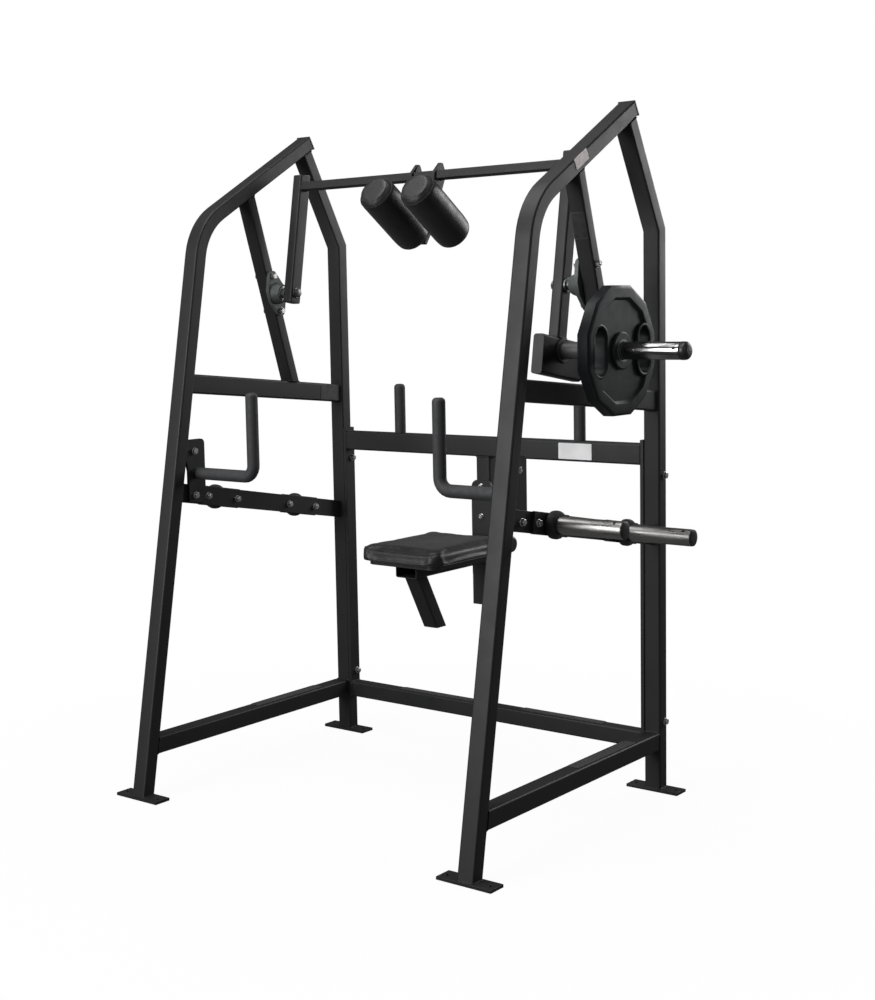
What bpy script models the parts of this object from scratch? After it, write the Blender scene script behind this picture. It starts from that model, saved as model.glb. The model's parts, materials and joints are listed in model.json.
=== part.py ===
"""Plate-loaded four-way neck machine: two bent side frames tied by rear crossbars, a seat that slides on
a rear post, and an overhead swing arm that carries two head rollers and a weight horn.

Metres, +Z up. The seat side faces -Y and the weight horn points to +X. All solids are modelled about the
machine's midline; the root empty moves them so that the origin is the centre of the bounding box at floor
level, because the weight horn reaches further out than the storage horns.
"""

from math import atan, cos, pi, radians, sin, tan

import bmesh
import bpy
from mathutils import Matrix, Vector

# Driving dimensions: plan of the frame.
FOOT_SPACING = 0.960  # front foot centre to rear foot centre, along Y
FRAME_HALF = 0.622  # midline to the centre plane of a side frame
TUBE_WIDTH = 0.054  # frame tube, across X
TUBE_DEPTH = 0.044  # frame tube, in the frame's own plane
WALL = 0.003
CORNER = 0.006  # outer corner radius of the rectangular tubes
GAP = 0.0003  # between pieces that touch

# Side frame profile, as (Y, Z) about the footprint centre.
FRONT_Y = -FOOT_SPACING / 2
REAR_Y = FOOT_SPACING / 2
LEG_LEAN = radians(10.2)  # front leg, back from vertical
ROOF_PITCH = radians(30)  # upper tube, above horizontal
ROOF_END = (0.3331, 2.0285)  # centre of the upper tube's rear end
SHOULDER_RADIUS = 0.190  # bend of the leg into the upper tube, on the centreline
UPRIGHT_LEAN = radians(28.5)  # top of the rear upright, forward from vertical
UPRIGHT_BEND_Z = 1.693
FOOT_SIZE = (0.176, 0.056, 0.009)
FOOT_HOLE_REACH = 0.068
BASE_RAIL_HEIGHT = 0.053
BASE_RAIL_Z = 0.157
SIDE_RAIL_WIDTH = 0.038
SIDE_RAIL_HEIGHT = 0.060
SIDE_RAIL_SLOPE = -0.095  # rise per metre towards the rear
SIDE_RAIL_Z = 1.2346  # centre of the rail where Y is 0
STORAGE_BAR_THICKNESS = 0.012
STORAGE_BAR_HEIGHT = 0.058
STORAGE_BAR_SLOPE = -tan(LEG_LEAN)
STORAGE_BAR_Z = 0.8698  # centre of the bar where Y is 0

# Pivot and the strut that carries it.
PIVOT = (0.1387, 1.5331)
STRUT_LEAN = radians(17)  # forward from vertical
STRUT_WIDTH = 0.050
STRUT_DEPTH = 0.038
BEARING_LENGTH = 0.041
BEARING_FLANGE = 0.013
BEARING_BOLTS = 0.117  # bolt to bolt, along the strut
SHAFT_RADIUS = 0.015

# Rear crossbars and seat post.
FLANGE_THICKNESS = 0.012
UPPER_CROSSBAR_Z = 1.0286
UPPER_CROSSBAR_HEIGHT = 0.064
LOWER_CROSSBAR_Z = 0.1525
LOWER_CROSSBAR_HEIGHT = 0.053
POST_BOTTOM_Z = 0.520

# Handles.
GRIP_RADIUS = 0.0188
HANDLE_RADIUS = 0.0145
HANDLE_X = 0.355  # midline to the upright part of a side handle
HANDLE_Y = -0.2285
HANDLE_LEVEL_Z = 0.978
HANDLE_TOP_Z = 1.233
HANDLE_BEND = 0.036
REAR_GRIP_X = 0.357
REAR_GRIP_RADIUS = 0.0185
REAR_GRIP_TOP_Z = 1.226

# Plate horns.
HORN_RADIUS = 0.0243
STORAGE_HORN_TIP = 0.867  # midline to tip
STORAGE_HORN_Y = (-0.1056, 0.2640)
HORN_BASE = (0.010, 0.168, 0.062)
COLLAR_RADIUS = 0.039
COLLAR_LENGTH = 0.028

# Swing arm.
ARM_X = 0.518
ARM_WIDTH = 0.036
ARM_DEPTH = 0.047
ARM_LEAN = radians(9.3)  # top of the arm, back from vertical
ARM_TOP_Z = 1.909
LEFT_ARM_BELOW_PIVOT = 0.030
LEVER_LENGTH = 0.205
LEVER_HEIGHT = 0.112
LEVER_CENTRE = (0.1146, 1.3288)
LEVER_WALL = 0.006
LEVER_CORNER = 0.008
ARM_CROSSBAR = 0.027
ARM_CROSSBAR_CENTRE = (0.1873, 1.8730)
WEIGHT_HORN_TIP = 0.936
WEIGHT_HORN_AXIS = (0.1152, 1.3500)
WEIGHT_HORN_RADIUS = 0.0245
PLATE_INNER_X = 0.691
PLATE_THICKNESS = 0.042
PLATE_ACROSS_FLATS = 0.356
PLATE_BORE_RADIUS = 0.0253
HAND_OPENING_REACH = 0.116  # horn axis to the centre of a hand opening
HAND_OPENING = (0.060, 0.130)  # width, height

# Head rollers.
ROLLER_X = 0.078
ROLLER_RADIUS = 0.0600
ROLLER_LENGTH = 0.245
ROLLER_TILT = radians(34.5)  # rear end below the front end
ROLLER_CENTRE = (0.1315, 1.7616)
ROLLER_BORE = 0.0085
AXLE_RADIUS = 0.0080
BRACKET_X = 0.044
BRACKET_THICKNESS = 0.012

# Seat.
SEAT_WIDTH = 0.312
SEAT_FRONT_Y = 0.0040
SEAT_REAR_Y = 0.3840
SEAT_CORNER = 0.040
SEAT_TOP_Z = 0.7540
SEAT_THICKNESS = 0.046
SEAT_BOARD = 0.012
SEAT_ARM = (0.080, 0.036)
CARRIAGE_Z = (0.613, 0.922)
SLEEVE_Z = (0.5136, 0.800)
PIN_Z = 0.716
PIN_HOLE_PITCH = 0.030

# The bounding box centre, seen from the midline.
MIDLINE_X = (STORAGE_HORN_TIP - WEIGHT_HORN_TIP) / 2

SIDES = (("left", -1), ("right", 1))


def clear_scene():
    for item in list(bpy.data.objects):
        bpy.data.objects.remove(item, do_unlink=True)


def principled(name, colour, roughness, metallic):
    material = bpy.data.materials.new(name)
    material.use_nodes = True
    shader = material.node_tree.nodes["Principled BSDF"]
    shader.inputs["Base Color"].default_value = (*colour, 1)
    shader.inputs["Roughness"].default_value = roughness
    shader.inputs["Metallic"].default_value = metallic
    material.diffuse_color = (*colour, 1)
    return material


FINISHES = {
    "powder_coat": ((0.022, 0.023, 0.026), 0.45, 0.0),
    "chrome": ((0.78, 0.77, 0.75), 0.18, 1.0),
    "steel": ((0.55, 0.55, 0.54), 0.35, 1.0),
    "rubber": ((0.018, 0.018, 0.019), 0.75, 0.0),
    "grip": ((0.040, 0.042, 0.045), 0.80, 0.0),
    "vinyl": ((0.016, 0.016, 0.017), 0.40, 0.0),
    "urethane": ((0.020, 0.025, 0.026), 0.50, 0.0),
    "plastic": ((0.020, 0.020, 0.021), 0.50, 0.0),
    "cast_iron": ((0.20, 0.22, 0.21), 0.55, 0.6),
}


def new_object(name, bm, finish, origin=(0, 0, 0), smooth=False):
    """Turn a bmesh in midline coordinates into a named object whose origin is at the given point."""
    bmesh.ops.recalc_face_normals(bm, faces=bm.faces)
    bmesh.ops.translate(bm, verts=bm.verts, vec=-Vector(origin))
    mesh = bpy.data.meshes.new(name)
    bm.to_mesh(mesh)
    bm.free()
    if smooth:
        mesh.shade_smooth()
        mesh.set_sharp_from_angle(angle=radians(35))
    item = bpy.data.objects.new(name, mesh)
    bpy.context.scene.collection.objects.link(item)
    item.location = origin
    item.data.materials.append(principled(name + "_finish", *FINISHES[finish]))
    return item


def in_plane(x, point):
    """A (Y, Z) point put at the given X."""
    return Vector((x, point[0], point[1]))


def lean_back(angle):
    """Unit (Y, Z) direction that points up and leans towards the rear."""
    return Vector((sin(angle), cos(angle)))


def fillet(corner, before, after, radius, steps=8):
    """Points of an arc that rounds a corner between two straight runs."""
    to_before = (before - corner).normalized()
    to_after = (after - corner).normalized()
    half = to_before.angle(to_after) / 2
    middle = (to_before + to_after).normalized()
    centre = corner + middle * radius / sin(half)
    first = corner + to_before * radius / tan(half)
    last = corner + to_after * radius / tan(half)
    start = first - centre
    turn = start.angle(last - centre)
    axis = start.cross(last - centre).normalized()
    turns = [Matrix.Rotation(turn * i / steps, 3, axis) for i in range(steps + 1)]
    return [centre + rotation @ start for rotation in turns]


def section_offsets(path, side, start_cut, end_cut):
    """For each point of a planar path, the in-plane vector from centreline to face, per unit of depth."""
    offsets = []
    for i, point in enumerate(path):
        into = (point - path[i - 1]).normalized() if i else None
        out = (path[i + 1] - point).normalized() if i + 1 < len(path) else None
        across = side.cross(into or out).normalized()
        cut = start_cut if i == 0 else end_cut if out is None else None
        if cut is None and into and out:
            cut = across + side.cross(out).normalized()
        if cut is None:
            offsets.append(across)
            continue
        cut = Vector(cut).normalized()
        if cut.dot(across) < 0:
            cut = -cut
        offsets.append(cut / cut.dot(across))
    return offsets


def rounded_section(half_width, half_depth, radius, steps=3):
    """(across, through) points of a rectangle with round corners, counter-clockwise from the right side."""
    points = []
    for corner, (a, b) in enumerate(((1, 1), (-1, 1), (-1, -1), (1, -1))):
        centre = (a * (half_width - radius), b * (half_depth - radius))
        points += arc(centre, radius, 90 * corner, 90 * corner + 90, steps)
    return points


def rectangular_tube(
    name, path, side, size, finish, wall=WALL, corner=CORNER, start_cut=None, end_cut=None, origin=(0, 0, 0)
):
    """Open-ended rectangular tube along a planar path; side is the width direction, size (width, depth)."""
    side = Vector(side).normalized()
    offsets = section_offsets(path, side, start_cut, end_cut)
    bm = bmesh.new()
    shells = []
    for inset in (0, wall):
        section = rounded_section(size[0] / 2 - inset, size[1] / 2 - inset, corner - inset)
        rings = []
        for point, offset in zip(path, offsets):
            rings.append([bm.verts.new(point + side * a + offset * b) for a, b in section])
        shells.append(rings)
    count = len(shells[0][0])
    for rings in shells:
        for ring, following in zip(rings, rings[1:]):
            for i in range(count):
                j = (i + 1) % count
                bm.faces.new((ring[i], ring[j], following[j], following[i]))
    for end in (0, -1):
        outer, inner = shells[0][end], shells[1][end]
        for i in range(count):
            j = (i + 1) % count
            bm.faces.new((outer[i], outer[j], inner[j], inner[i]))
    return new_object(name, bm, finish, origin, smooth=True)


def outline_plate(name, outline, x_low, x_high, finish, origin=(0, 0, 0), smooth=False):
    """Flat plate in a Y-Z plane, from a closed list of (Y, Z) points."""
    bm = bmesh.new()
    low = [bm.verts.new(in_plane(x_low, point)) for point in outline]
    high = [bm.verts.new(in_plane(x_high, point)) for point in outline]
    bm.faces.new(low)
    bm.faces.new(high)
    for i in range(len(outline)):
        j = (i + 1) % len(outline)
        bm.faces.new((low[i], low[j], high[j], high[i]))
    return new_object(name, bm, finish, origin, smooth)


def arc(centre, radius, start, end, steps):
    """(Y, Z) points on an arc, angles in degrees."""
    angles = [radians(start + (end - start) * i / steps) for i in range(steps + 1)]
    return [(centre[0] + radius * cos(a), centre[1] + radius * sin(a)) for a in angles]


def cuboid(name, low, high, finish, origin=(0, 0, 0)):
    bm = bmesh.new()
    bmesh.ops.create_cube(bm, size=1)
    size = Vector(high) - Vector(low)
    middle = (Vector(high) + Vector(low)) / 2
    bmesh.ops.transform(bm, matrix=Matrix.Translation(middle) @ Matrix.Diagonal((*size, 1)), verts=bm.verts)
    return new_object(name, bm, finish, origin)


def lathe(name, profile, base, axis, finish, segments=32, closed=False, origin=(0, 0, 0)):
    """Turned solid from (distance along axis, radius) points; closed joins the ends, leaving a bore."""
    axis = Vector(axis).normalized()
    across = axis.orthogonal().normalized()
    other = axis.cross(across)
    bm = bmesh.new()
    rings = []
    for along, radius in profile:
        centre = Vector(base) + axis * along
        if radius == 0:
            rings.append([bm.verts.new(centre)])
            continue
        turns = [2 * pi * i / segments for i in range(segments)]
        rings.append([bm.verts.new(centre + (across * cos(t) + other * sin(t)) * radius) for t in turns])
    pairs = list(zip(rings, rings[1:]))
    if closed:
        pairs.append((rings[-1], rings[0]))
    for ring, following in pairs:
        for i in range(segments):
            j = (i + 1) % segments
            if len(ring) == 1:
                bm.faces.new((ring[0], following[i], following[j]))
            elif len(following) == 1:
                bm.faces.new((ring[i], ring[j], following[0]))
            else:
                bm.faces.new((ring[i], ring[j], following[j], following[i]))
    if not closed:
        for ring in (rings[0], rings[-1]):
            if len(ring) > 1:
                bm.faces.new(ring)
    return new_object(name, bm, finish, origin, smooth=True)


def rounded_end(length, radius, round_radius, steps=4):
    """Profile points of a cylinder's far end with a rounded edge."""
    points = []
    for i in range(steps + 1):
        turn = pi / 2 * i / steps
        along = length - round_radius * (1 - sin(turn))
        points.append((along, radius - round_radius * (1 - cos(turn))))
    return points


def round_sweep(name, path, radius, finish, segments=20, bore=0.0, dome=0.0):
    """Round bar along a path. A bore makes a sleeve open at the first point; a dome rounds the last end."""
    bm = bmesh.new()

    def rings_for(points, radii):
        tangents = []
        for i in range(len(points)):
            before = points[max(i - 1, 0)]
            after = points[min(i + 1, len(points) - 1)]
            tangents.append((after - before).normalized())
        across = tangents[0].orthogonal().normalized()
        made = []
        for i, point in enumerate(points):
            if i:
                across = tangents[i - 1].rotation_difference(tangents[i]) @ across
            other = tangents[i].cross(across)
            turns = [2 * pi * k / segments for k in range(segments)]
            offsets = [(across * cos(t) + other * sin(t)) * radii[i] for t in turns]
            made.append([bm.verts.new(point + offset) for offset in offsets])
        return made

    end_direction = (path[-1] - path[-2]).normalized()
    outer_path, outer_radii = list(path), [radius] * len(path)
    for i in range(1, 5 if dome else 1):
        turn = pi / 2 * i / 5
        outer_path.append(path[-1] + end_direction * dome * sin(turn))
        outer_radii.append(radius - dome * (1 - cos(turn)))
    outer = rings_for(outer_path, outer_radii)
    chains = [outer]
    if bore:
        chains.append(rings_for(list(path), [bore] * len(path)))
    for rings in chains:
        for ring, following in zip(rings, rings[1:]):
            for i in range(segments):
                j = (i + 1) % segments
                bm.faces.new((ring[i], ring[j], following[j], following[i]))
        bm.faces.new(rings[-1])
    if bore:
        for i in range(segments):
            j = (i + 1) % segments
            bm.faces.new((chains[0][0][i], chains[0][0][j], chains[1][0][j], chains[1][0][i]))
    else:
        bm.faces.new(outer[0])
    return new_object(name, bm, finish, smooth=True)


def boolean(item, tool, operation):
    """Apply a Boolean at once and drop the tool."""
    modifier = item.modifiers.new(operation.lower(), "BOOLEAN")
    modifier.operation = operation
    modifier.solver = "EXACT"
    modifier.object = tool
    bpy.context.view_layer.update()
    graph = bpy.context.evaluated_depsgraph_get()
    mesh = bpy.data.meshes.new_from_object(item.evaluated_get(graph))
    item.modifiers.clear()
    material = item.data.materials[0]
    item.data = mesh
    item.data.materials.clear()
    item.data.materials.append(material)
    bpy.data.objects.remove(tool, do_unlink=True)
    return item


# ---------------------------------------------------------------- side frames


def leg_and_roof_path(x):
    """Centreline of the bent tube: foot plate, leaning leg, shoulder bend, upper tube to the apex."""
    leg = lean_back(LEG_LEAN)
    roof = Vector((cos(ROOF_PITCH), sin(ROOF_PITCH)))
    end = Vector(ROOF_END)
    base = Vector((FRONT_Y, 0))
    across = base - end
    length = (across.y * leg.x - across.x * leg.y) / (roof.y * leg.x - roof.x * leg.y)
    corner = end + roof * length
    foot_top = base + leg * (FOOT_SIZE[2] + GAP) / leg.y
    bend = fillet(in_plane(x, corner), in_plane(x, foot_top), in_plane(x, end), SHOULDER_RADIUS)
    return [in_plane(x, foot_top), *bend, in_plane(x, end)]


def leg_face_y(z, behind):
    """Y of the leg's rear face (behind=1) or front face (behind=-1) at a height."""
    return FRONT_Y + z * tan(LEG_LEAN) + behind * TUBE_DEPTH / 2 / cos(LEG_LEAN)


def roof_underside_z(y):
    return ROOF_END[1] - (ROOF_END[0] - y) * tan(ROOF_PITCH) - (TUBE_DEPTH / 2 + GAP) / cos(ROOF_PITCH)


def upright_path(x):
    """Centreline of the rear upright: straight up, then leaning forward to the upper tube's underside."""
    bend = Vector((REAR_Y, UPRIGHT_BEND_Z))
    lean = lean_back(-UPRIGHT_LEAN)
    rise = roof_underside_z(bend.x) - bend.y
    length = rise / (lean.y - lean.x * tan(ROOF_PITCH))
    top = bend + lean * length
    return [in_plane(x, (REAR_Y, FOOT_SIZE[2] + GAP)), in_plane(x, bend), in_plane(x, top)]


def make_frame_tubes(side, sign):
    x = sign * FRAME_HALF
    size = (TUBE_WIDTH, TUBE_DEPTH)
    level = (0, 1, 0)
    roof_cut = (0, cos(ROOF_PITCH), sin(ROOF_PITCH))
    leg = rectangular_tube(
        f"front_leg_{side}", leg_and_roof_path(x), (1, 0, 0), size, "powder_coat", start_cut=level
    )
    upright = rectangular_tube(
        f"rear_upright_{side}", upright_path(x), (1, 0, 0), size, "powder_coat", end_cut=roof_cut
    )
    return [leg, upright]


def sloped_rail_path(x, z_at_zero, slope):
    """Straight run from the leg's rear face to the upright's front face."""
    rear = REAR_Y - TUBE_DEPTH / 2 - GAP
    at_leg = FRONT_Y + (TUBE_DEPTH / 2 + GAP) / cos(LEG_LEAN)
    front = (at_leg + z_at_zero * tan(LEG_LEAN)) / (1 - slope * tan(LEG_LEAN))
    return [in_plane(x, (y, z_at_zero + slope * y)) for y in (front, rear)]


def make_rails(side, sign):
    x = sign * FRAME_HALF
    leg_cut = (0, sin(LEG_LEAN), cos(LEG_LEAN))
    upright_cut = (0, 0, 1)
    runs = (
        ("base_rail", BASE_RAIL_Z, 0, (TUBE_WIDTH, BASE_RAIL_HEIGHT)),
        ("side_rail", SIDE_RAIL_Z, SIDE_RAIL_SLOPE, (SIDE_RAIL_WIDTH, SIDE_RAIL_HEIGHT)),
    )
    made = []
    for name, z, slope, size in runs:
        path = sloped_rail_path(x, z, slope)
        rail = rectangular_tube(
            f"{name}_{side}",
            path,
            (1, 0, 0),
            size,
            "powder_coat",
            start_cut=leg_cut,
            end_cut=upright_cut,
        )
        made.append(rail)
    return made


def make_storage_bar(side, sign):
    x = sign * FRAME_HALF
    front, rear = sloped_rail_path(x, STORAGE_BAR_Z, STORAGE_BAR_SLOPE)
    half = STORAGE_BAR_HEIGHT / 2
    lean = tan(LEG_LEAN)
    outline = [
        (front.y - half * lean, front.z - half),
        (rear.y, rear.z - half),
        (rear.y, rear.z + half),
        (front.y + half * lean, front.z + half),
    ]
    thick = STORAGE_BAR_THICKNESS / 2
    return outline_plate(f"storage_bar_{side}", outline, x - thick, x + thick, "powder_coat")


def make_strut(side, sign):
    """Leaning strut from the side rail up to the upper tube; it carries the pivot bearing."""
    x = sign * FRAME_HALF
    pivot = Vector(PIVOT)
    lean = lean_back(-STRUT_LEAN)
    rail_top = SIDE_RAIL_Z + (SIDE_RAIL_HEIGHT / 2 + GAP) / cos(atan(SIDE_RAIL_SLOPE))
    down = (pivot.y - rail_top - SIDE_RAIL_SLOPE * pivot.x) / (lean.y - SIDE_RAIL_SLOPE * lean.x)
    up = (roof_underside_z(pivot.x) - pivot.y) / (lean.y - lean.x * tan(ROOF_PITCH))
    path = [in_plane(x, pivot - lean * down), in_plane(x, pivot + lean * up)]
    return rectangular_tube(
        f"pivot_strut_{side}",
        path,
        (1, 0, 0),
        (STRUT_WIDTH, STRUT_DEPTH),
        "powder_coat",
        start_cut=(0, 1, SIDE_RAIL_SLOPE),
        end_cut=(0, cos(ROOF_PITCH), sin(ROOF_PITCH)),
    )


def make_feet(side, sign):
    made = []
    for end, y in (("front", FRONT_Y), ("rear", REAR_Y)):
        half_x, half_y = FOOT_SIZE[0] / 2, FOOT_SIZE[1] / 2
        x = sign * FRAME_HALF
        foot = cuboid(
            f"{end}_foot_{side}",
            (x - half_x, y - half_y, 0),
            (x + half_x, y + half_y, FOOT_SIZE[2]),
            "powder_coat",
        )
        for reach in (-1, 1):
            base = (x + reach * FOOT_HOLE_REACH, y, 0)
            hole = lathe("foot_hole", [(-0.01, 0.006), (0.02, 0.006)], base, (0, 0, 1), "steel", 16)
            boolean(foot, hole, "DIFFERENCE")
        made.append(foot)
    return made


def make_apex_cap(side, sign):
    """Plug plate over the open rear end of the upper tube."""
    roof = Vector((cos(ROOF_PITCH), sin(ROOF_PITCH)))
    across = Vector((-roof.y, roof.x))
    start = Vector(ROOF_END) + roof * GAP
    half, thick = TUBE_DEPTH / 2 + 0.001, 0.005
    outline = [start - across * half, start + roof * thick - across * half]
    outline += [start + roof * thick + across * half, start + across * half]
    x, reach = sign * FRAME_HALF, TUBE_WIDTH / 2 + 0.001
    return outline_plate(f"apex_cap_{side}", outline, x - reach, x + reach, "plastic")


def make_bearing(side, sign):
    """Flanged pivot bearing bolted to the inner face of the strut."""
    face_x = sign * (FRAME_HALF - STRUT_WIDTH / 2 - GAP)
    lean = lean_back(-STRUT_LEAN)
    across = Vector((lean.y, -lean.x))
    pivot = Vector(PIVOT)
    outline = []
    for end in (1, -1):
        tip = pivot + lean * end * BEARING_BOLTS / 2
        for i in range(7):
            angle = radians(-75 + 150 * i / 6)
            point = lean * end * cos(angle) * 0.017 + across * end * sin(angle) * 0.017
            outline.append(tip + point)
        middle = pivot + across * end * 0.037
        outline += [middle + lean * end * 0.018, middle - lean * end * 0.018]
    inward = -sign
    flange_x = face_x + inward * BEARING_FLANGE
    centre = in_plane(face_x, PIVOT)
    flange = outline_plate(f"pivot_bearing_{side}", outline, face_x, flange_x, "cast_iron", centre)
    hub_profile = [(0.002, 0.036), (BEARING_FLANGE + 0.006, 0.034)]
    hub_profile += [(BEARING_LENGTH - 0.008, 0.030), (BEARING_LENGTH, 0.026)]
    hub = lathe("bearing_hub", hub_profile, centre, (inward, 0, 0), "cast_iron", 28)
    boolean(flange, hub, "UNION")
    bore_radius = SHAFT_RADIUS + 0.0004
    bore_profile = [(-0.01, bore_radius), (BEARING_LENGTH + 0.01, bore_radius)]
    bore = lathe("bearing_bore", bore_profile, centre, (inward, 0, 0), "cast_iron", 28)
    return boolean(flange, bore, "DIFFERENCE")


def make_rest_bumper():
    """Rubber block on the front of the right strut that the weight horn rests against."""
    lean = lean_back(-STRUT_LEAN)
    front = Vector((-lean.y, lean.x))
    drop = (PIVOT[1] - WEIGHT_HORN_AXIS[1]) / lean.y
    foot = Vector(PIVOT) - lean * drop + front * (STRUT_DEPTH / 2 + GAP)
    reach = (Vector(WEIGHT_HORN_AXIS) - foot).dot(front) - WEIGHT_HORN_RADIUS - GAP
    outline = [foot - lean * 0.022, foot + lean * 0.022]
    outline += [foot + lean * 0.018 + front * reach, foot - lean * 0.018 + front * reach]
    x = FRAME_HALF
    return outline_plate("rest_bumper", outline, x - 0.020, x + 0.020, "rubber")


# ---------------------------------------------------------------- rear crossbars


def make_crossbars():
    inner = FRAME_HALF - TUBE_WIDTH / 2 - GAP - FLANGE_THICKNESS - GAP
    made = []
    for name, z, height in (
        ("upper_crossbar", UPPER_CROSSBAR_Z, UPPER_CROSSBAR_HEIGHT),
        ("lower_crossbar", LOWER_CROSSBAR_Z, LOWER_CROSSBAR_HEIGHT),
    ):
        path = [Vector((-inner, REAR_Y, z)), Vector((inner, REAR_Y, z))]
        made.append(rectangular_tube(name, path, (0, 0, 1), (height, TUBE_DEPTH), "powder_coat"))
    bottom = LOWER_CROSSBAR_Z - LOWER_CROSSBAR_HEIGHT / 2
    top = UPPER_CROSSBAR_Z + UPPER_CROSSBAR_HEIGHT / 2 + 0.012
    for side, sign in SIDES:
        outer_x = sign * (FRAME_HALF - TUBE_WIDTH / 2 - GAP)
        x_low, x_high = sorted((outer_x, outer_x - sign * FLANGE_THICKNESS))
        low = (x_low, REAR_Y - TUBE_DEPTH / 2, bottom)
        high = (x_high, REAR_Y + TUBE_DEPTH / 2, top)
        made.append(cuboid(f"crossbar_flange_{side}", low, high, "powder_coat"))
    return made


def make_seat_post():
    top = UPPER_CROSSBAR_Z - UPPER_CROSSBAR_HEIGHT / 2 - GAP
    path = [Vector((0, REAR_Y, POST_BOTTOM_Z)), Vector((0, REAR_Y, top))]
    post = rectangular_tube("seat_post", path, (1, 0, 0), (TUBE_WIDTH, TUBE_DEPTH), "powder_coat")
    for i in range(-4, 3):
        base = (TUBE_WIDTH / 2 - 0.01, REAR_Y, PIN_Z + PIN_HOLE_PITCH * i)
        hole = lathe("pin_hole", [(0, 0.0065), (0.02, 0.0065)], base, (1, 0, 0), "steel", 16)
        boolean(post, hole, "DIFFERENCE")
    return post


def make_rear_grip(side, sign):
    """Short vertical grip that stands on the upper crossbar, with a domed top."""
    base_z = UPPER_CROSSBAR_Z + UPPER_CROSSBAR_HEIGHT / 2 + GAP
    length = REAR_GRIP_TOP_Z - base_z
    profile = [(0, REAR_GRIP_RADIUS), *rounded_end(length, REAR_GRIP_RADIUS, 0.012, 5)]
    return lathe(f"rear_grip_{side}", profile, (sign * REAR_GRIP_X, REAR_Y, base_z), (0, 0, 1), "grip", 24)


# ---------------------------------------------------------------- side handles


def handle_path(sign):
    plate_x = sign * (FRAME_HALF - STORAGE_BAR_THICKNESS / 2 - GAP - 0.010)
    start = Vector((plate_x + sign * 0.004, HANDLE_Y, HANDLE_LEVEL_Z))
    corner = Vector((sign * HANDLE_X, HANDLE_Y, HANDLE_LEVEL_Z))
    top = Vector((sign * HANDLE_X, HANDLE_Y, HANDLE_TOP_Z - 0.012))
    return [start, *fillet(corner, start, top, HANDLE_BEND, 7), top]


def make_side_handle(side, sign):
    """Flat plate bolted to the storage bar, with a bent bar welded to it."""
    face_x = sign * (FRAME_HALF - STORAGE_BAR_THICKNESS / 2 - GAP)
    inner_x = face_x - sign * 0.010
    low_z = 0.888
    front = leg_face_y(1.03, 1) + 0.003
    rear = HANDLE_Y + 0.040
    top = 1.084
    outline = [(HANDLE_Y - 0.030, low_z), (rear, low_z - 0.006)]
    outline += arc((rear - 0.014, top - 0.014), 0.014, 0, 90, 4)
    outline += [(leg_face_y(top, 1) + 0.004, top), (front, 1.030), (HANDLE_Y - 0.030, 0.985)]
    x_low, x_high = sorted((face_x, inner_x))
    plate = outline_plate(f"side_handle_{side}", outline, x_low, x_high, "powder_coat")
    path = handle_path(sign)
    path[-1] = path[-1] - Vector((0, 0, 0.004))
    bar = round_sweep("handle_bar", path, HANDLE_RADIUS, "powder_coat")
    return boolean(plate, bar, "UNION")


def make_side_grip(side, sign):
    """Rubber sleeve over the bent bar, closed and rounded at the top."""
    path = handle_path(sign)
    path[0] = path[0] - Vector((sign * 0.020, 0, 0))
    return round_sweep(f"side_grip_{side}", path, GRIP_RADIUS, "grip", bore=HANDLE_RADIUS + GAP, dome=0.012)


# ---------------------------------------------------------------- plate horns


def make_storage_horn(side, sign, place, y):
    """Chromed peg on a flat base bolted across the outer face of the storage bar."""
    face_x = sign * (FRAME_HALF + STORAGE_BAR_THICKNESS / 2 + GAP)
    z = STORAGE_BAR_Z + STORAGE_BAR_SLOPE * y
    along = Vector((cos(LEG_LEAN), -sin(LEG_LEAN)))
    up = lean_back(LEG_LEAN)
    centre = Vector((y, z))
    half_length, half_height = HORN_BASE[1] / 2, HORN_BASE[2] / 2
    corners = ((-1, -1), (1, -1), (1, 1), (-1, 1))
    outline = [centre + along * a * half_length + up * b * half_height for a, b in corners]
    outer_x = face_x + sign * HORN_BASE[0]
    base = outline_plate(f"storage_horn_{place}_{side}", outline, face_x, outer_x, "chrome")
    length = STORAGE_HORN_TIP - abs(face_x)
    profile = [(0.004, HORN_RADIUS), *rounded_end(length, HORN_RADIUS, 0.004, 3)]
    peg = lathe("horn_peg", profile, in_plane(face_x, centre), (sign, 0, 0), "chrome", 28)
    return boolean(base, peg, "UNION")


def make_collar(name, x, point, sign, bore):
    """Moulded rubber ring that the stored plates bear against."""
    profile = [
        (0, bore),
        (0, COLLAR_RADIUS - 0.006),
        (0.004, COLLAR_RADIUS - 0.001),
        (0.009, COLLAR_RADIUS),
        (COLLAR_LENGTH - 0.009, COLLAR_RADIUS),
        (COLLAR_LENGTH - 0.003, COLLAR_RADIUS - 0.002),
        (COLLAR_LENGTH, COLLAR_RADIUS - 0.007),
        (COLLAR_LENGTH, bore),
    ]
    return lathe(name, profile, in_plane(x, point), (sign, 0, 0), "rubber", 28, closed=True)


def make_storage_horns(side, sign):
    made = []
    for place, y in zip(("front", "rear"), STORAGE_HORN_Y):
        made.append(make_storage_horn(side, sign, place, y))
        x = sign * (FRAME_HALF + STORAGE_BAR_THICKNESS / 2 + HORN_BASE[0] + 2 * GAP)
        point = (y, STORAGE_BAR_Z + STORAGE_BAR_SLOPE * y)
        made.append(make_collar(f"horn_collar_{place}_{side}", x, point, sign, HORN_RADIUS + GAP))
    return made


# ---------------------------------------------------------------- swing arm


def pivot_origin(x=0.0):
    return in_plane(x, PIVOT)


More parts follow.
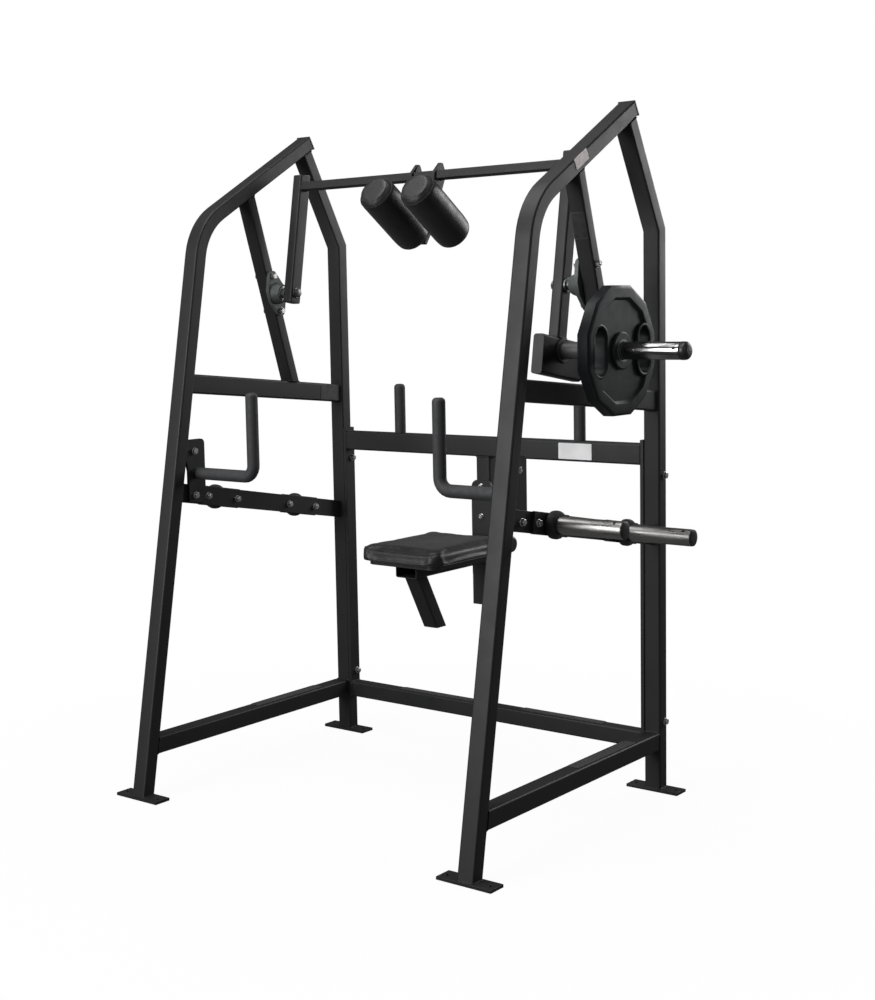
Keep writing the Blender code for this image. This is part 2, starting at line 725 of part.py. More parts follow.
def make_arms():
    """Two leaning side arms; the right one runs down to the lever box."""
    lean = lean_back(ARM_LEAN)
    pivot = Vector(PIVOT)
    top = pivot + lean * (ARM_TOP_Z - pivot.y) / lean.y
    lever_top = (pivot - Vector(LEVER_CENTRE)).dot(lean) - LEVER_HEIGHT / 2 - GAP
    made = []
    for side, sign in SIDES:
        below = lever_top if side == "right" else LEFT_ARM_BELOW_PIVOT
        x = sign * ARM_X
        path = [in_plane(x, pivot - lean * below), in_plane(x, top)]
        arm = rectangular_tube(
            f"swing_arm_{side}",
            path,
            (1, 0, 0),
            (ARM_WIDTH, ARM_DEPTH),
            "powder_coat",
            end_cut=(0, 1, 0),
            origin=pivot_origin(x),
        )
        made.append(arm)
    return made


def make_arm_crossbar():
    reach = ARM_X - ARM_WIDTH / 2 - GAP
    x_ends = (-reach, reach)
    path = [in_plane(x, ARM_CROSSBAR_CENTRE) for x in x_ends]
    side = in_plane(0, lean_back(ARM_LEAN))
    size = (ARM_CROSSBAR, ARM_CROSSBAR)
    return rectangular_tube(
        "arm_crossbar", path, side, size, "powder_coat", wall=0.0025, corner=0.004, origin=pivot_origin()
    )


def make_lever_box():
    """Deep box below the right arm, square to it; the weight horn comes out of its outer face."""
    along = Vector((cos(ARM_LEAN), -sin(ARM_LEAN)))
    centre = Vector(LEVER_CENTRE)
    path = [in_plane(ARM_X, centre + along * end * LEVER_LENGTH / 2) for end in (-1, 1)]
    box = rectangular_tube(
        "lever_box",
        path,
        (1, 0, 0),
        (ARM_WIDTH, LEVER_HEIGHT),
        "powder_coat",
        wall=LEVER_WALL,
        corner=LEVER_CORNER,
        origin=pivot_origin(ARM_X),
    )
    up = lean_back(ARM_LEAN)
    corners = ((-1, -1), (1, -1), (1, 1), (-1, 1))
    front = centre - along * (LEVER_LENGTH / 2 - 0.003)
    outline = [front + along * a * 0.003 + up * b * (LEVER_HEIGHT / 2 - LEVER_WALL / 2) for a, b in corners]
    reach = ARM_WIDTH / 2 - LEVER_WALL / 2
    face = outline_plate("lever_face", outline, ARM_X - reach, ARM_X + reach, "powder_coat")
    return boolean(box, face, "UNION")


def make_pivot_shafts():
    made = []
    for side, sign in SIDES:
        start = sign * (ARM_X + ARM_WIDTH / 2 + GAP)
        length = FRAME_HALF - STRUT_WIDTH / 2 - 0.002 - abs(start)
        profile = [(0, 0.021), (0.006, 0.021), (0.006, SHAFT_RADIUS), (length, SHAFT_RADIUS)]
        base = pivot_origin(start)
        made.append(lathe(f"pivot_shaft_{side}", profile, base, (sign, 0, 0), "steel", 28, origin=base))
    return made


def make_weight_horn():
    start = ARM_X + ARM_WIDTH / 2 + GAP
    profile = [(0, 0.034), (0.005, 0.034), (0.005, WEIGHT_HORN_RADIUS)]
    profile += rounded_end(WEIGHT_HORN_TIP - start, WEIGHT_HORN_RADIUS, 0.013, 5)
    base = in_plane(start, WEIGHT_HORN_AXIS)
    horn = lathe("weight_horn", profile, base, (1, 0, 0), "chrome", 32, origin=pivot_origin(start))
    collar_x = PLATE_INNER_X - GAP - COLLAR_LENGTH
    collar = make_collar("weight_horn_collar", collar_x, WEIGHT_HORN_AXIS, 1, WEIGHT_HORN_RADIUS + GAP)
    return [horn, collar]


def polygon_ring(bm, x, radius, sides=12):
    """Corners of a polygon with flats at top, bottom and both sides, about the weight horn's axis."""
    turns = [2 * pi * (i + 0.5) / sides for i in range(sides)]
    y, z = WEIGHT_HORN_AXIS
    return [bm.verts.new((x, y + radius * cos(t), z + radius * sin(t))) for t in turns]


def make_weight_plate():
    """Twelve-sided coated plate: raised rim, sunken web, raised hub, two hand openings."""
    corner = PLATE_ACROSS_FLATS / 2 / cos(pi / 12)
    low, high = PLATE_INNER_X, PLATE_INNER_X + PLATE_THICKNESS
    steps = (
        (low, corner - 0.034),
        (low, corner - 0.010),
        (low + 0.006, corner),
        (high - 0.006, corner),
        (high, corner - 0.010),
        (high, corner - 0.034),
        (high - 0.008, corner - 0.042),
    )
    bm = bmesh.new()
    rings = [polygon_ring(bm, x, radius) for x, radius in steps]
    for ring, following in zip(rings, rings[1:]):
        for i in range(12):
            j = (i + 1) % 12
            bm.faces.new((ring[i], ring[j], following[j], following[i]))
    bm.faces.new(rings[0])
    bm.faces.new(rings[-1])
    plate = new_object("weight_plate", bm, "urethane", in_plane(low, WEIGHT_HORN_AXIS))
    hub_profile = [(0.010, 0.052), (PLATE_THICKNESS - 0.003, 0.052), (PLATE_THICKNESS, 0.048)]
    hub = lathe("plate_hub", hub_profile, in_plane(low, WEIGHT_HORN_AXIS), (1, 0, 0), "urethane", 32)
    boolean(plate, hub, "UNION")
    bore_profile = [(-0.01, PLATE_BORE_RADIUS), (0.06, PLATE_BORE_RADIUS)]
    bore = lathe("plate_bore", bore_profile, in_plane(low, WEIGHT_HORN_AXIS), (1, 0, 0), "urethane", 32)
    boolean(plate, bore, "DIFFERENCE")
    for reach in (-1, 1):
        y, z = WEIGHT_HORN_AXIS
        opening = []
        for up, start in ((1, 0), (-1, 180)):
            centre = (y + reach * HAND_OPENING_REACH, z + up * (HAND_OPENING[1] - HAND_OPENING[0]) / 2)
            opening += arc(centre, HAND_OPENING[0] / 2, start, start + 180, 8)
        window = outline_plate("hand_opening", opening, low - 0.01, high + 0.01, "urethane")
        boolean(plate, window, "DIFFERENCE")
    return plate


# ---------------------------------------------------------------- head rollers


def roller_frame():
    """Unit (Y, Z) directions of a head roller: along its axis to the rear, and square to it, up and back."""
    along = Vector((cos(ROLLER_TILT), -sin(ROLLER_TILT)))
    return along, Vector((sin(ROLLER_TILT), cos(ROLLER_TILT)))


def in_roller(s, t):
    """(Y, Z) of a point given along and above the roller's axis."""
    along, above = roller_frame()
    return Vector(ROLLER_CENTRE) + along * s + above * t


def make_roller_bracket(side, sign):
    """Plate over the arm crossbar that runs back and down behind the roller and turns under its rear end."""
    centre = Vector(ARM_CROSSBAR_CENTRE)
    bar_along = Vector((cos(ARM_LEAN), -sin(ARM_LEAN)))
    bar_up = lean_back(ARM_LEAN)

    def at_bar(a, b):
        return centre + bar_along * a + bar_up * b

    half = ROLLER_LENGTH / 2
    outline = [at_bar(-0.020, -0.018), at_bar(-0.022, 0.004), at_bar(0.006, 0.040), at_bar(0.016, 0.040)]
    outline += [at_bar(0.036, 0.010), at_bar(0.022, -0.040), in_roller(0.060, ROLLER_RADIUS + 0.028)]
    outline += [in_roller(half + 0.014, ROLLER_RADIUS + 0.020), in_roller(half + 0.014, -0.016)]
    outline += [in_roller(half + 0.003, -0.016), in_roller(half + 0.003, ROLLER_RADIUS + 0.004)]
    outline += [in_roller(0.010, ROLLER_RADIUS + 0.005)]
    x = sign * BRACKET_X
    thick = BRACKET_THICKNESS / 2
    bracket = outline_plate(
        f"roller_bracket_{side}", outline, x - thick, x + thick, "powder_coat", pivot_origin(x)
    )
    bar_half = ARM_CROSSBAR / 2 + GAP
    corners = ((-1, -1), (1, -1), (1, 1), (-1, 1))
    window = [at_bar(a * bar_half, b * bar_half) for a, b in corners]
    boolean(bracket, outline_plate("bar_window", window, x - 0.02, x + 0.02, "powder_coat"), "DIFFERENCE")
    lug = [in_roller(half + 0.0034, -0.0156), in_roller(half + 0.0136, -0.0156)]
    lug += [in_roller(half + 0.0136, 0.018), in_roller(half + 0.0034, 0.018)]
    x_low, x_high = sorted((x - sign * 0.004, sign * (ROLLER_X + 0.016)))
    boolean(bracket, outline_plate("axle_lug", lug, x_low, x_high, "powder_coat"), "UNION")
    hole_base = in_plane(sign * ROLLER_X, in_roller(half - 0.010, 0))
    along = in_plane(0, roller_frame()[0])
    hole_profile = [(0, AXLE_RADIUS + GAP), (0.04, AXLE_RADIUS + GAP)]
    hole = lathe("axle_hole", hole_profile, hole_base, along, "steel", 20)
    return boolean(bracket, hole, "DIFFERENCE")


def make_head_roller(side, sign):
    """Padded roller that turns on its axle, and the axle that its bracket holds by the rear end."""
    along = in_plane(0, roller_frame()[0])
    half = ROLLER_LENGTH / 2
    front = in_plane(sign * ROLLER_X, in_roller(-half, 0))
    centre = in_plane(sign * ROLLER_X, ROLLER_CENTRE)
    edge = 0.012
    profile = [(0.010, ROLLER_BORE + 0.006), (0, ROLLER_BORE + 0.006)]
    rear_edge = rounded_end(ROLLER_LENGTH, ROLLER_RADIUS, edge)
    profile += [(ROLLER_LENGTH - a, r) for a, r in reversed(rear_edge)]
    profile += [*rear_edge, (ROLLER_LENGTH, ROLLER_BORE), (0.010, ROLLER_BORE)]
    pad = lathe(f"head_roller_{side}", profile, front, along, "vinyl", 36, closed=True, origin=centre)
    axle_length = ROLLER_LENGTH + 0.016
    axle_profile = [(0.003, 0.0130), (0.009, 0.0130), (0.009, AXLE_RADIUS), (axle_length, AXLE_RADIUS)]
    axle = lathe(f"roller_axle_{side}", axle_profile, front, along, "steel", 20, origin=centre)
    return [pad, axle]


# ---------------------------------------------------------------- seat


def rounded_rectangle(bm, low, high, radius, z, steps=5):
    corners = ((high[0], high[1], 0), (low[0], high[1], 90), (low[0], low[1], 180), (high[0], low[1], 270))
    ring = []
    for x, y, start in corners:
        centre_x = x - radius if x == high[0] else x + radius
        centre_y = y - radius if y == high[1] else y + radius
        for i in range(steps + 1):
            angle = radians(start + 90 * i / steps)
            ring.append(bm.verts.new((centre_x + radius * cos(angle), centre_y + radius * sin(angle), z)))
    return ring


def make_seat_pad():
    """Plain cushion solid with rounded corners and softened top and bottom edges."""
    bottom, top = SEAT_TOP_Z - SEAT_THICKNESS, SEAT_TOP_Z
    bm = bmesh.new()
    rings = []
    levels = ((0.008, bottom), (0, bottom + 0.008), (0, top - 0.014), (0.004, top - 0.005), (0.014, top))
    for inset, z in levels:
        low = (-SEAT_WIDTH / 2 + inset, SEAT_FRONT_Y + inset)
        high = (SEAT_WIDTH / 2 - inset, SEAT_REAR_Y - inset)
        rings.append(rounded_rectangle(bm, low, high, SEAT_CORNER - inset, z))
    for ring, following in zip(rings, rings[1:]):
        for i in range(len(ring)):
            j = (i + 1) % len(ring)
            bm.faces.new((ring[i], ring[j], following[j], following[i]))
    bm.faces.new(rings[0])
    bm.faces.new(rings[-1])
    return new_object("seat_pad", bm, "vinyl", (0, REAR_Y, SEAT_TOP_Z - SEAT_THICKNESS), smooth=True)


def make_seat_board():
    top = SEAT_TOP_Z - SEAT_THICKNESS - GAP
    bm = bmesh.new()
    low = (-SEAT_WIDTH / 2 + 0.022, SEAT_FRONT_Y + 0.022)
    high = (SEAT_WIDTH / 2 - 0.022, SEAT_REAR_Y - 0.022)
    lower = rounded_rectangle(bm, low, high, 0.030, top - SEAT_BOARD + 2 * GAP)
    upper = rounded_rectangle(bm, low, high, 0.030, top)
    for i in range(len(lower)):
        j = (i + 1) % len(lower)
        bm.faces.new((lower[i], lower[j], upper[j], upper[i]))
    bm.faces.new(lower)
    bm.faces.new(upper)
    return new_object("seat_board", bm, "plastic", (0, REAR_Y, top))


def make_seat_carriage():
    """Front plate with a rounded top, sleeve round the post, seat arm and slanted stub tube, all welded."""
    post_front = REAR_Y - TUBE_DEPTH / 2
    post_rear = REAR_Y + TUBE_DEPTH / 2
    plate_front = post_front - 0.009
    half = SEAT_ARM[0] / 2
    bm = bmesh.new()
    turns = [radians(180 * i / 10) for i in range(11)]
    corner = 0.024
    top = CARRIAGE_Z[1] - corner
    outline = [(half, CARRIAGE_Z[0])]
    outline += [(half - corner + corner * cos(t), top + corner * sin(t)) for t in turns[:6]]
    outline += [(-half + corner + corner * cos(t), top + corner * sin(t)) for t in turns[5:]]
    outline += [(-half, CARRIAGE_Z[0])]
    front = [bm.verts.new((x, plate_front, z)) for x, z in outline]
    back = [bm.verts.new((x, post_front - 0.001, z)) for x, z in outline]
    bm.faces.new(front)
    bm.faces.new(back)
    for i in range(len(outline)):
        j = (i + 1) % len(outline)
        bm.faces.new((front[i], front[j], back[j], back[i]))
    carriage = new_object("seat_carriage", bm, "powder_coat", (0, REAR_Y, SLEEVE_Z[0]))
    inside = TUBE_WIDTH / 2 + 0.001
    sleeve_low = (-half, plate_front + 0.001, SLEEVE_Z[0])
    sleeve_high = (half, post_rear + 0.006, SLEEVE_Z[1])
    sleeve = cuboid("sleeve", sleeve_low, sleeve_high, "powder_coat")
    well = cuboid(
        "post_well",
        (-inside, post_front - 0.001, SLEEVE_Z[0] - 0.1),
        (inside, post_rear + 0.001, SLEEVE_Z[1] + 0.1),
        "powder_coat",
    )
    boolean(sleeve, well, "DIFFERENCE")
    boolean(carriage, sleeve, "UNION")
    arm_top = SEAT_TOP_Z - SEAT_THICKNESS - SEAT_BOARD - GAP
    arm_z = arm_top - SEAT_ARM[1] / 2
    arm_path = [Vector((0, 0.0538, arm_z)), Vector((0, plate_front + 0.004, arm_z))]
    arm_size = (SEAT_ARM[1], SEAT_ARM[0])
    arm = rectangular_tube("seat_arm", arm_path, (0, 0, 1), arm_size, "powder_coat")
    boolean(carriage, arm, "UNION")
    stub_top = Vector((0.0989 + 0.001, arm_top - SEAT_ARM[1] + 0.0015))
    stub_foot = Vector((0.1934, 0.4877))
    stub_path = [in_plane(0, stub_top), in_plane(0, stub_foot)]
    size, level = (TUBE_WIDTH, 0.045), (0, 1, 0)
    stub = rectangular_tube(
        "stub", stub_path, (1, 0, 0), size, "powder_coat", start_cut=level, end_cut=level
    )
    boolean(carriage, stub, "UNION")
    hole = lathe("pin_bore", [(0, 0.0075), (0.03, 0.0075)], (0.025, REAR_Y, PIN_Z), (1, 0, 0), "steel", 20)
    return boolean(carriage, hole, "DIFFERENCE")


def make_seat_pin():
    """Pull pin with a round knob, and the threaded barrel that guides it on the sleeve's right side."""
    half = SEAT_ARM[0] / 2
    barrel_profile = [(0, 0.0070), (0, 0.013), (0.026, 0.013), (0.026, 0.0070)]
    barrel_base = (half + GAP, REAR_Y, PIN_Z)
    barrel = lathe("pin_barrel", barrel_profile, barrel_base, (1, 0, 0), "steel", 24, closed=True)
    start = TUBE_WIDTH / 2 + GAP
    knob_start = half + 0.028 - start
    profile = [(0, 0.0050), (0.002, 0.0062), (knob_start, 0.0062)]
    profile += [(knob_start, 0.016), (knob_start + 0.006, 0.024)]
    profile += rounded_end(knob_start + 0.034, 0.026, 0.008)
    tip = (start, REAR_Y, PIN_Z)
    pin = lathe("seat_pin", profile, tip, (1, 0, 0), "plastic", 28, origin=tip)
    return [barrel, pin]


# ---------------------------------------------------------------- assembly


def main():
    clear_scene()
    bpy.context.scene.unit_settings.scale_length = 1.0
    made = []
    for side, sign in SIDES:
        made += make_frame_tubes(side, sign)
        made += make_rails(side, sign)
        made.append(make_storage_bar(side, sign))
        made.append(make_strut(side, sign))
        made += make_feet(side, sign)
        made.append(make_apex_cap(side, sign))
        made.append(make_bearing(side, sign))
        made.append(make_side_handle(side, sign))
        made.append(make_side_grip(side, sign))
        made.append(make_rear_grip(side, sign))
        made += make_storage_horns(side, sign)
        made.append(make_roller_bracket(side, sign))
        made += make_head_roller(side, sign)
    made.append(make_rest_bumper())
    made += make_crossbars()
    made.append(make_seat_post())
    made += make_arms()
    made.append(make_arm_crossbar())
    made.append(make_lever_box())
    made += make_pivot_shafts()
    made += make_weight_horn()
    made.append(make_weight_plate())
    made.append(make_seat_pad())
    made.append(make_seat_board())
    made.append(make_seat_carriage())
    made += make_seat_pin()
    root = bpy.data.objects.new("machine_centre", None)
    bpy.context.scene.collection.objects.link(root)
    root.location = (MIDLINE_X, 0, 0)
    for item in made:
        item.parent = root


main()
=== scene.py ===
"""Looks for the plate-loaded four-way neck machine: finishes for every CAD part, the sewn seat cushion and
head rollers, fasteners, welds, plugs, blank labels, tread strips, and a plain white studio.

Metres, in the frame's own coordinates. Places come from the CAD parts' boxes.
"""

import json
from math import cos, pi, radians, sin

import bmesh
import bpy
from mathutils import Matrix, Vector
from mathutils.bvhtree import BVHTree


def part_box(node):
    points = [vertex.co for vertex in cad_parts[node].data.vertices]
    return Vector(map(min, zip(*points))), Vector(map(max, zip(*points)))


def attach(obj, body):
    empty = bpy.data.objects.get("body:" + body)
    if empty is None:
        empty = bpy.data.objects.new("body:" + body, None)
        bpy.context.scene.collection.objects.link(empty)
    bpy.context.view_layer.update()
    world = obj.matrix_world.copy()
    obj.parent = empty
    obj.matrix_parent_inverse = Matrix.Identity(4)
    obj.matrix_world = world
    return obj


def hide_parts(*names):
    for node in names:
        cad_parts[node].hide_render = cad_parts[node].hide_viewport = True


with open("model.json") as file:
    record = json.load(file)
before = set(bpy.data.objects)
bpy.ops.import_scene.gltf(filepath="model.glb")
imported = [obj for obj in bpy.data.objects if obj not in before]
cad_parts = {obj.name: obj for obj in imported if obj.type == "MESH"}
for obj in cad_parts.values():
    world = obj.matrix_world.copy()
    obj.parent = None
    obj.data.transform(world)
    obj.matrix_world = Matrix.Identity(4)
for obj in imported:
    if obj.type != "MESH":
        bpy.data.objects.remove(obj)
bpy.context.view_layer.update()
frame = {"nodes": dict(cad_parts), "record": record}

SIDES = (("left", -1), ("right", 1))
LEG_LEAN = radians(10.2)
STRUT_LEAN = radians(17)
ARM_LEAN = radians(9.3)
ROOF_PITCH = radians(30)
ROLLER_TILT = radians(34.5)
SIDE_RAIL_SLOPE = 0.095
GRIP_RADIUS = 0.0188
BASE_PLATE = 0.0106
BEARING_PLATE = 0.0132
SEAT_PLATE = 0.009
HANDLE_BOLTS = 0.069
HORN_BOLTS = 0.065
BEARING_BOLTS = 0.0585
STRUT_HALF_DEPTH = 0.0190
HAND_OPENING_REACH = 0.116
TREAD_THICKNESS = 0.0022
CHROME_TONES = ((0.46, 0.46, 0.47), (0.60, 0.59, 0.58))

UP = Vector((0, 0, 1))
RIGHT = Vector((1, 0, 0))
REARWARD = Vector((0, 1, 0))
STRUT_UP = Vector((0, -sin(STRUT_LEAN), cos(STRUT_LEAN)))
STRUT_FRONT = Vector((0, -cos(STRUT_LEAN), -sin(STRUT_LEAN)))
ARM_UP = Vector((0, sin(ARM_LEAN), cos(ARM_LEAN)))
ARM_REAR = Vector((0, cos(ARM_LEAN), -sin(ARM_LEAN)))
ROOF_UP = Vector((0, -sin(ROOF_PITCH), cos(ROOF_PITCH)))
ROOF_ALONG = Vector((0, cos(ROOF_PITCH), sin(ROOF_PITCH)))
BAR_ALONG = Vector((0, cos(LEG_LEAN), -sin(LEG_LEAN)))
LEG_FRONT = Vector((0, -cos(LEG_LEAN), sin(LEG_LEAN)))
ROLLER_ALONG = Vector((0, cos(ROLLER_TILT), -sin(ROLLER_TILT)))

MIDLINE_X = (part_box("front_leg_left")[0].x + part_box("front_leg_right")[1].x) / 2


def middle(node):
    low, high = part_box(node)
    return (low + high) / 2


def side_x(node, sign):
    """X of a node's right face for sign 1, or of its left face for sign -1."""
    low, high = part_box(node)
    return high.x if sign > 0 else low.x


# ---------------------------------------------------------------- materials


class Surface:
    """A Principled material under construction, with its textures in object coordinates."""

    def __init__(self, name, metallic=0.0, **sockets):
        self.material = bpy.data.materials.new(name)
        self.material.use_nodes = True
        self.tree = self.material.node_tree
        self.shader = self.tree.nodes["Principled BSDF"]
        self.shader.inputs["Metallic"].default_value = metallic
        for socket, value in sockets.items():
            self.shader.inputs[socket.replace("_", " ")].default_value = value
        self.place = self.tree.nodes.new("ShaderNodeTexCoord").outputs["Object"]

    def link(self, output, socket):
        self.tree.links.new(output, socket)

    def noise(self, scale, detail=3.0, stretch=(1, 1, 1)):
        mapping = self.tree.nodes.new("ShaderNodeMapping")
        mapping.inputs["Scale"].default_value = stretch
        self.link(self.place, mapping.inputs["Vector"])
        texture = self.tree.nodes.new("ShaderNodeTexNoise")
        texture.inputs["Scale"].default_value = scale
        texture.inputs["Detail"].default_value = detail
        self.link(mapping.outputs["Vector"], texture.inputs["Vector"])
        return texture.outputs["Fac"]

    def cells(self, scale):
        texture = self.tree.nodes.new("ShaderNodeTexVoronoi")
        texture.inputs["Scale"].default_value = scale
        self.link(self.place, texture.inputs["Vector"])
        return texture.outputs["Distance"]

    def across(self):
        """X in object coordinates."""
        split = self.tree.nodes.new("ShaderNodeSeparateXYZ")
        self.link(self.place, split.inputs[0])
        return split.outputs["X"]

    def arithmetic(self, operation, output, value=0.0):
        node = self.tree.nodes.new("ShaderNodeMath")
        node.operation = operation
        node.inputs[1].default_value = value
        self.link(output, node.inputs[0])
        return node.outputs[0]

    def between(self, factor, low, high, start=0.35, end=0.65):
        """A number that runs from low to high as the factor runs from start to end."""
        spread = self.tree.nodes.new("ShaderNodeMapRange")
        spread.inputs["From Min"].default_value = start
        spread.inputs["From Max"].default_value = end
        spread.inputs["To Min"].default_value = low
        spread.inputs["To Max"].default_value = high
        self.link(factor, spread.inputs["Value"])
        return spread.outputs["Result"]

    def mix(self, factor, first, second):
        """A colour between two colours, each a tuple or another node's output."""
        blend = self.tree.nodes.new("ShaderNodeMix")
        blend.data_type = "RGBA"
        self.link(factor, blend.inputs["Factor"])
        for socket, colour in ((blend.inputs[6], first), (blend.inputs[7], second)):
            if isinstance(colour, tuple):
                socket.default_value = (*colour, 1)
            else:
                self.link(colour, socket)
        return blend.outputs[2]

    def edge_wear_and_highlight(self, radius):
        """1 close to an edge of the mesh and 0 on its faces: the mask for edges painted paler, partly as
        wear and partly as a painted highlight.
        """
        rounded = self.tree.nodes.new("ShaderNodeBevel")
        rounded.samples = 4
        rounded.inputs["Radius"].default_value = radius
        plain = self.tree.nodes.new("ShaderNodeNewGeometry")
        match = self.tree.nodes.new("ShaderNodeVectorMath")
        match.operation = "DOT_PRODUCT"
        self.link(rounded.outputs["Normal"], match.inputs[0])
        self.link(plain.outputs["Normal"], match.inputs[1])
        return self.between(match.outputs["Value"], 1, 0, 0.86, 0.99)

    def colour(self, output):
        self.link(output, self.shader.inputs["Base Color"])

    def roughness(self, output):
        self.link(output, self.shader.inputs["Roughness"])

    def relief(self, *layers):
        """Stacks bumps; each layer is (height output, strength, depth in metres)."""
        normal = None
        for height, strength, depth in layers:
            bump = self.tree.nodes.new("ShaderNodeBump")
            bump.inputs["Strength"].default_value = strength
            bump.inputs["Distance"].default_value = depth
            self.link(height, bump.inputs["Height"])
            if normal:
                self.link(normal, bump.inputs["Normal"])
            normal = bump.outputs["Normal"]
        self.link(normal, self.shader.inputs["Normal"])


def powder_coat():
    """Satin charcoal powder coat: fine orange peel, broad drifts of tone, edges painted a little paler as
    rubbed wear and as a painted highlight.
    """
    finish = Surface("satin_powder_coat", Specular_IOR_Level=0.36)
    drift = finish.mix(finish.noise(5), (0.0115, 0.0115, 0.0125), (0.0165, 0.0165, 0.0178))
    # Paler edges: partly rubbed wear, partly a painted highlight along every edge.
    finish.colour(finish.mix(finish.edge_wear_and_highlight(0.0012), drift, (0.024, 0.024, 0.0255)))
    finish.roughness(finish.between(finish.noise(16), 0.46, 0.52))
    finish.relief((finish.noise(700, 2), 0.16, 0.0002), (finish.noise(1600, 2), 0.12, 0.0001))
    return finish.material


def chrome():
    """Bright chrome with faint turning rings and wiped-on haze."""
    finish = Surface("bright_chrome", metallic=1.0)
    finish.colour(finish.mix(finish.noise(22), *CHROME_TONES))
    finish.roughness(finish.between(finish.noise(30, 4, (6, 1, 1)), 0.10, 0.24))
    finish.relief((finish.noise(60, 2, (14, 0.4, 0.4)), 0.12, 0.0003))
    return finish.material


def weight_horn_finish():
    """Chrome where plates slide, and dull dark grey inboard of the plate."""
    finish = Surface("chromed_horn_with_dull_root")
    plate_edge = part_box("weight_plate")[0].x
    bright = finish.between(finish.across(), 0, 1, plate_edge - 0.0005, plate_edge + 0.0005)
    haze = finish.mix(finish.noise(22), *CHROME_TONES)
    finish.colour(finish.mix(bright, (0.055, 0.055, 0.057), haze))
    finish.link(bright, finish.shader.inputs["Metallic"])
    finish.roughness(finish.between(bright, 0.50, 0.17, 0, 1))
    finish.relief((finish.noise(60, 2, (14, 0.4, 0.4)), 0.12, 0.0003))
    return finish.material


def storage_horn_finish():
    """Drawn steel peg with long scratches and warmer stains; its base plate is painted black."""
    finish = Surface("drawn_steel_and_black_base")
    streaks = finish.noise(60, 4, (0.25, 3, 3))
    steel = finish.mix(streaks, (0.26, 0.26, 0.26), (0.44, 0.43, 0.42))
    stain = finish.between(finish.noise(9, 4), 0, 0.55, 0.52, 0.66)
    stained = finish.mix(stain, steel, (0.24, 0.185, 0.14))
    base_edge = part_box("horn_collar_front_right")[0].x - 0.0002 - MIDLINE_X
    reach = finish.arithmetic("ABSOLUTE", finish.arithmetic("SUBTRACT", finish.across(), MIDLINE_X))
    peg = finish.arithmetic("GREATER_THAN", reach, base_edge)
    finish.colour(finish.mix(peg, (0.016, 0.016, 0.017), stained))
    finish.link(peg, finish.shader.inputs["Metallic"])
    finish.roughness(finish.between(finish.noise(40, 4, (0.4, 2, 2)), 0.26, 0.44))
    finish.relief((finish.noise(220, 3, (0.06, 2, 2)), 0.25, 0.0003))
    return finish.material


def zinc():
    """Bright zinc plate, slightly mottled."""
    finish = Surface("bright_zinc", metallic=1.0)
    finish.colour(finish.mix(finish.noise(180), (0.58, 0.58, 0.57), (0.84, 0.84, 0.82)))
    finish.roughness(finish.between(finish.noise(240), 0.20, 0.38))
    finish.relief((finish.noise(700, 2), 0.15, 0.0002))
    return finish.material


def dull_steel():
    """Oiled grey steel for the shafts, axles and the plate's bore."""
    finish = Surface("oiled_steel", metallic=0.9)
    finish.colour(finish.mix(finish.noise(70), (0.10, 0.10, 0.10), (0.22, 0.22, 0.215)))
    finish.roughness(finish.between(finish.noise(90), 0.30, 0.48))
    finish.relief((finish.noise(500, 2), 0.2, 0.0002))
    return finish.material


def cast_housing():
    """Grey-green painted casting with a sand-cast grain."""
    finish = Surface("cast_grey_housing", metallic=0.15)
    finish.colour(finish.mix(finish.noise(60, 5), (0.042, 0.052, 0.050), (0.105, 0.120, 0.115)))
    finish.roughness(finish.between(finish.noise(90), 0.42, 0.62))
    finish.relief((finish.noise(320, 5), 0.5, 0.0006), (finish.cells(900), 0.2, 0.0003))
    return finish.material


def rubber(name, dark, light, low, high, grain):
    """Moulded rubber: dusty tone, a fine pitted skin."""
    finish = Surface(name)
    finish.colour(finish.mix(finish.noise(24, 4), dark, light))
    finish.roughness(finish.between(finish.noise(50), low, high))
    finish.relief((finish.cells(grain), 0.25, 0.0003), (finish.noise(grain * 0.5, 3), 0.2, 0.0003))
    return finish.material


def vinyl():
    """Black upholstery vinyl with a pebbled grain, a soft sheen, and slack ripples under the light."""
    sheen = {"Sheen_Weight": 0.05, "Sheen_Roughness": 0.5}
    finish = Surface("black_upholstery_vinyl", Specular_IOR_Level=0.42, **sheen)
    finish.colour(finish.mix(finish.noise(14, 4), (0.009, 0.009, 0.0095), (0.017, 0.017, 0.018)))
    finish.roughness(finish.between(finish.noise(20), 0.34, 0.48))
    grain = (finish.cells(620), 0.32, 0.0004)
    finish.relief((finish.noise(26, 3), 0.18, 0.0015), grain)
    return finish.material


def plate_coating():
    """Greenish-black urethane over iron, paler along its edges as scuffing and as a painted highlight."""
    finish = Surface("greenish_black_urethane", Specular_IOR_Level=0.20)
    broad = finish.mix(finish.noise(9), (0.0075, 0.0100, 0.0110), (0.0130, 0.0165, 0.0180))
    scuffs = finish.between(finish.noise(70, 6), 0, 0.30, 0.58, 0.72)
    marked = finish.mix(scuffs, broad, (0.026, 0.029, 0.031))
    # Paler edges: partly scuffed wear, partly a painted highlight along the rims.
    finish.colour(finish.mix(finish.edge_wear_and_highlight(0.0022), marked, (0.050, 0.054, 0.056)))
    finish.roughness(finish.between(finish.noise(30), 0.34, 0.50))
    finish.relief((finish.noise(500, 3), 0.2, 0.0003))
    return finish.material


def label(name, pale, other, spread):
    """Printed film label without lettering: two tones that drift into each other."""
    finish = Surface(name)
    finish.colour(finish.mix(finish.between(finish.noise(spread, 2), 0, 1), pale, other))
    finish.roughness(finish.between(finish.noise(60), 0.34, 0.46))
    finish.relief((finish.noise(300, 2), 0.1, 0.0002))
    return finish.material


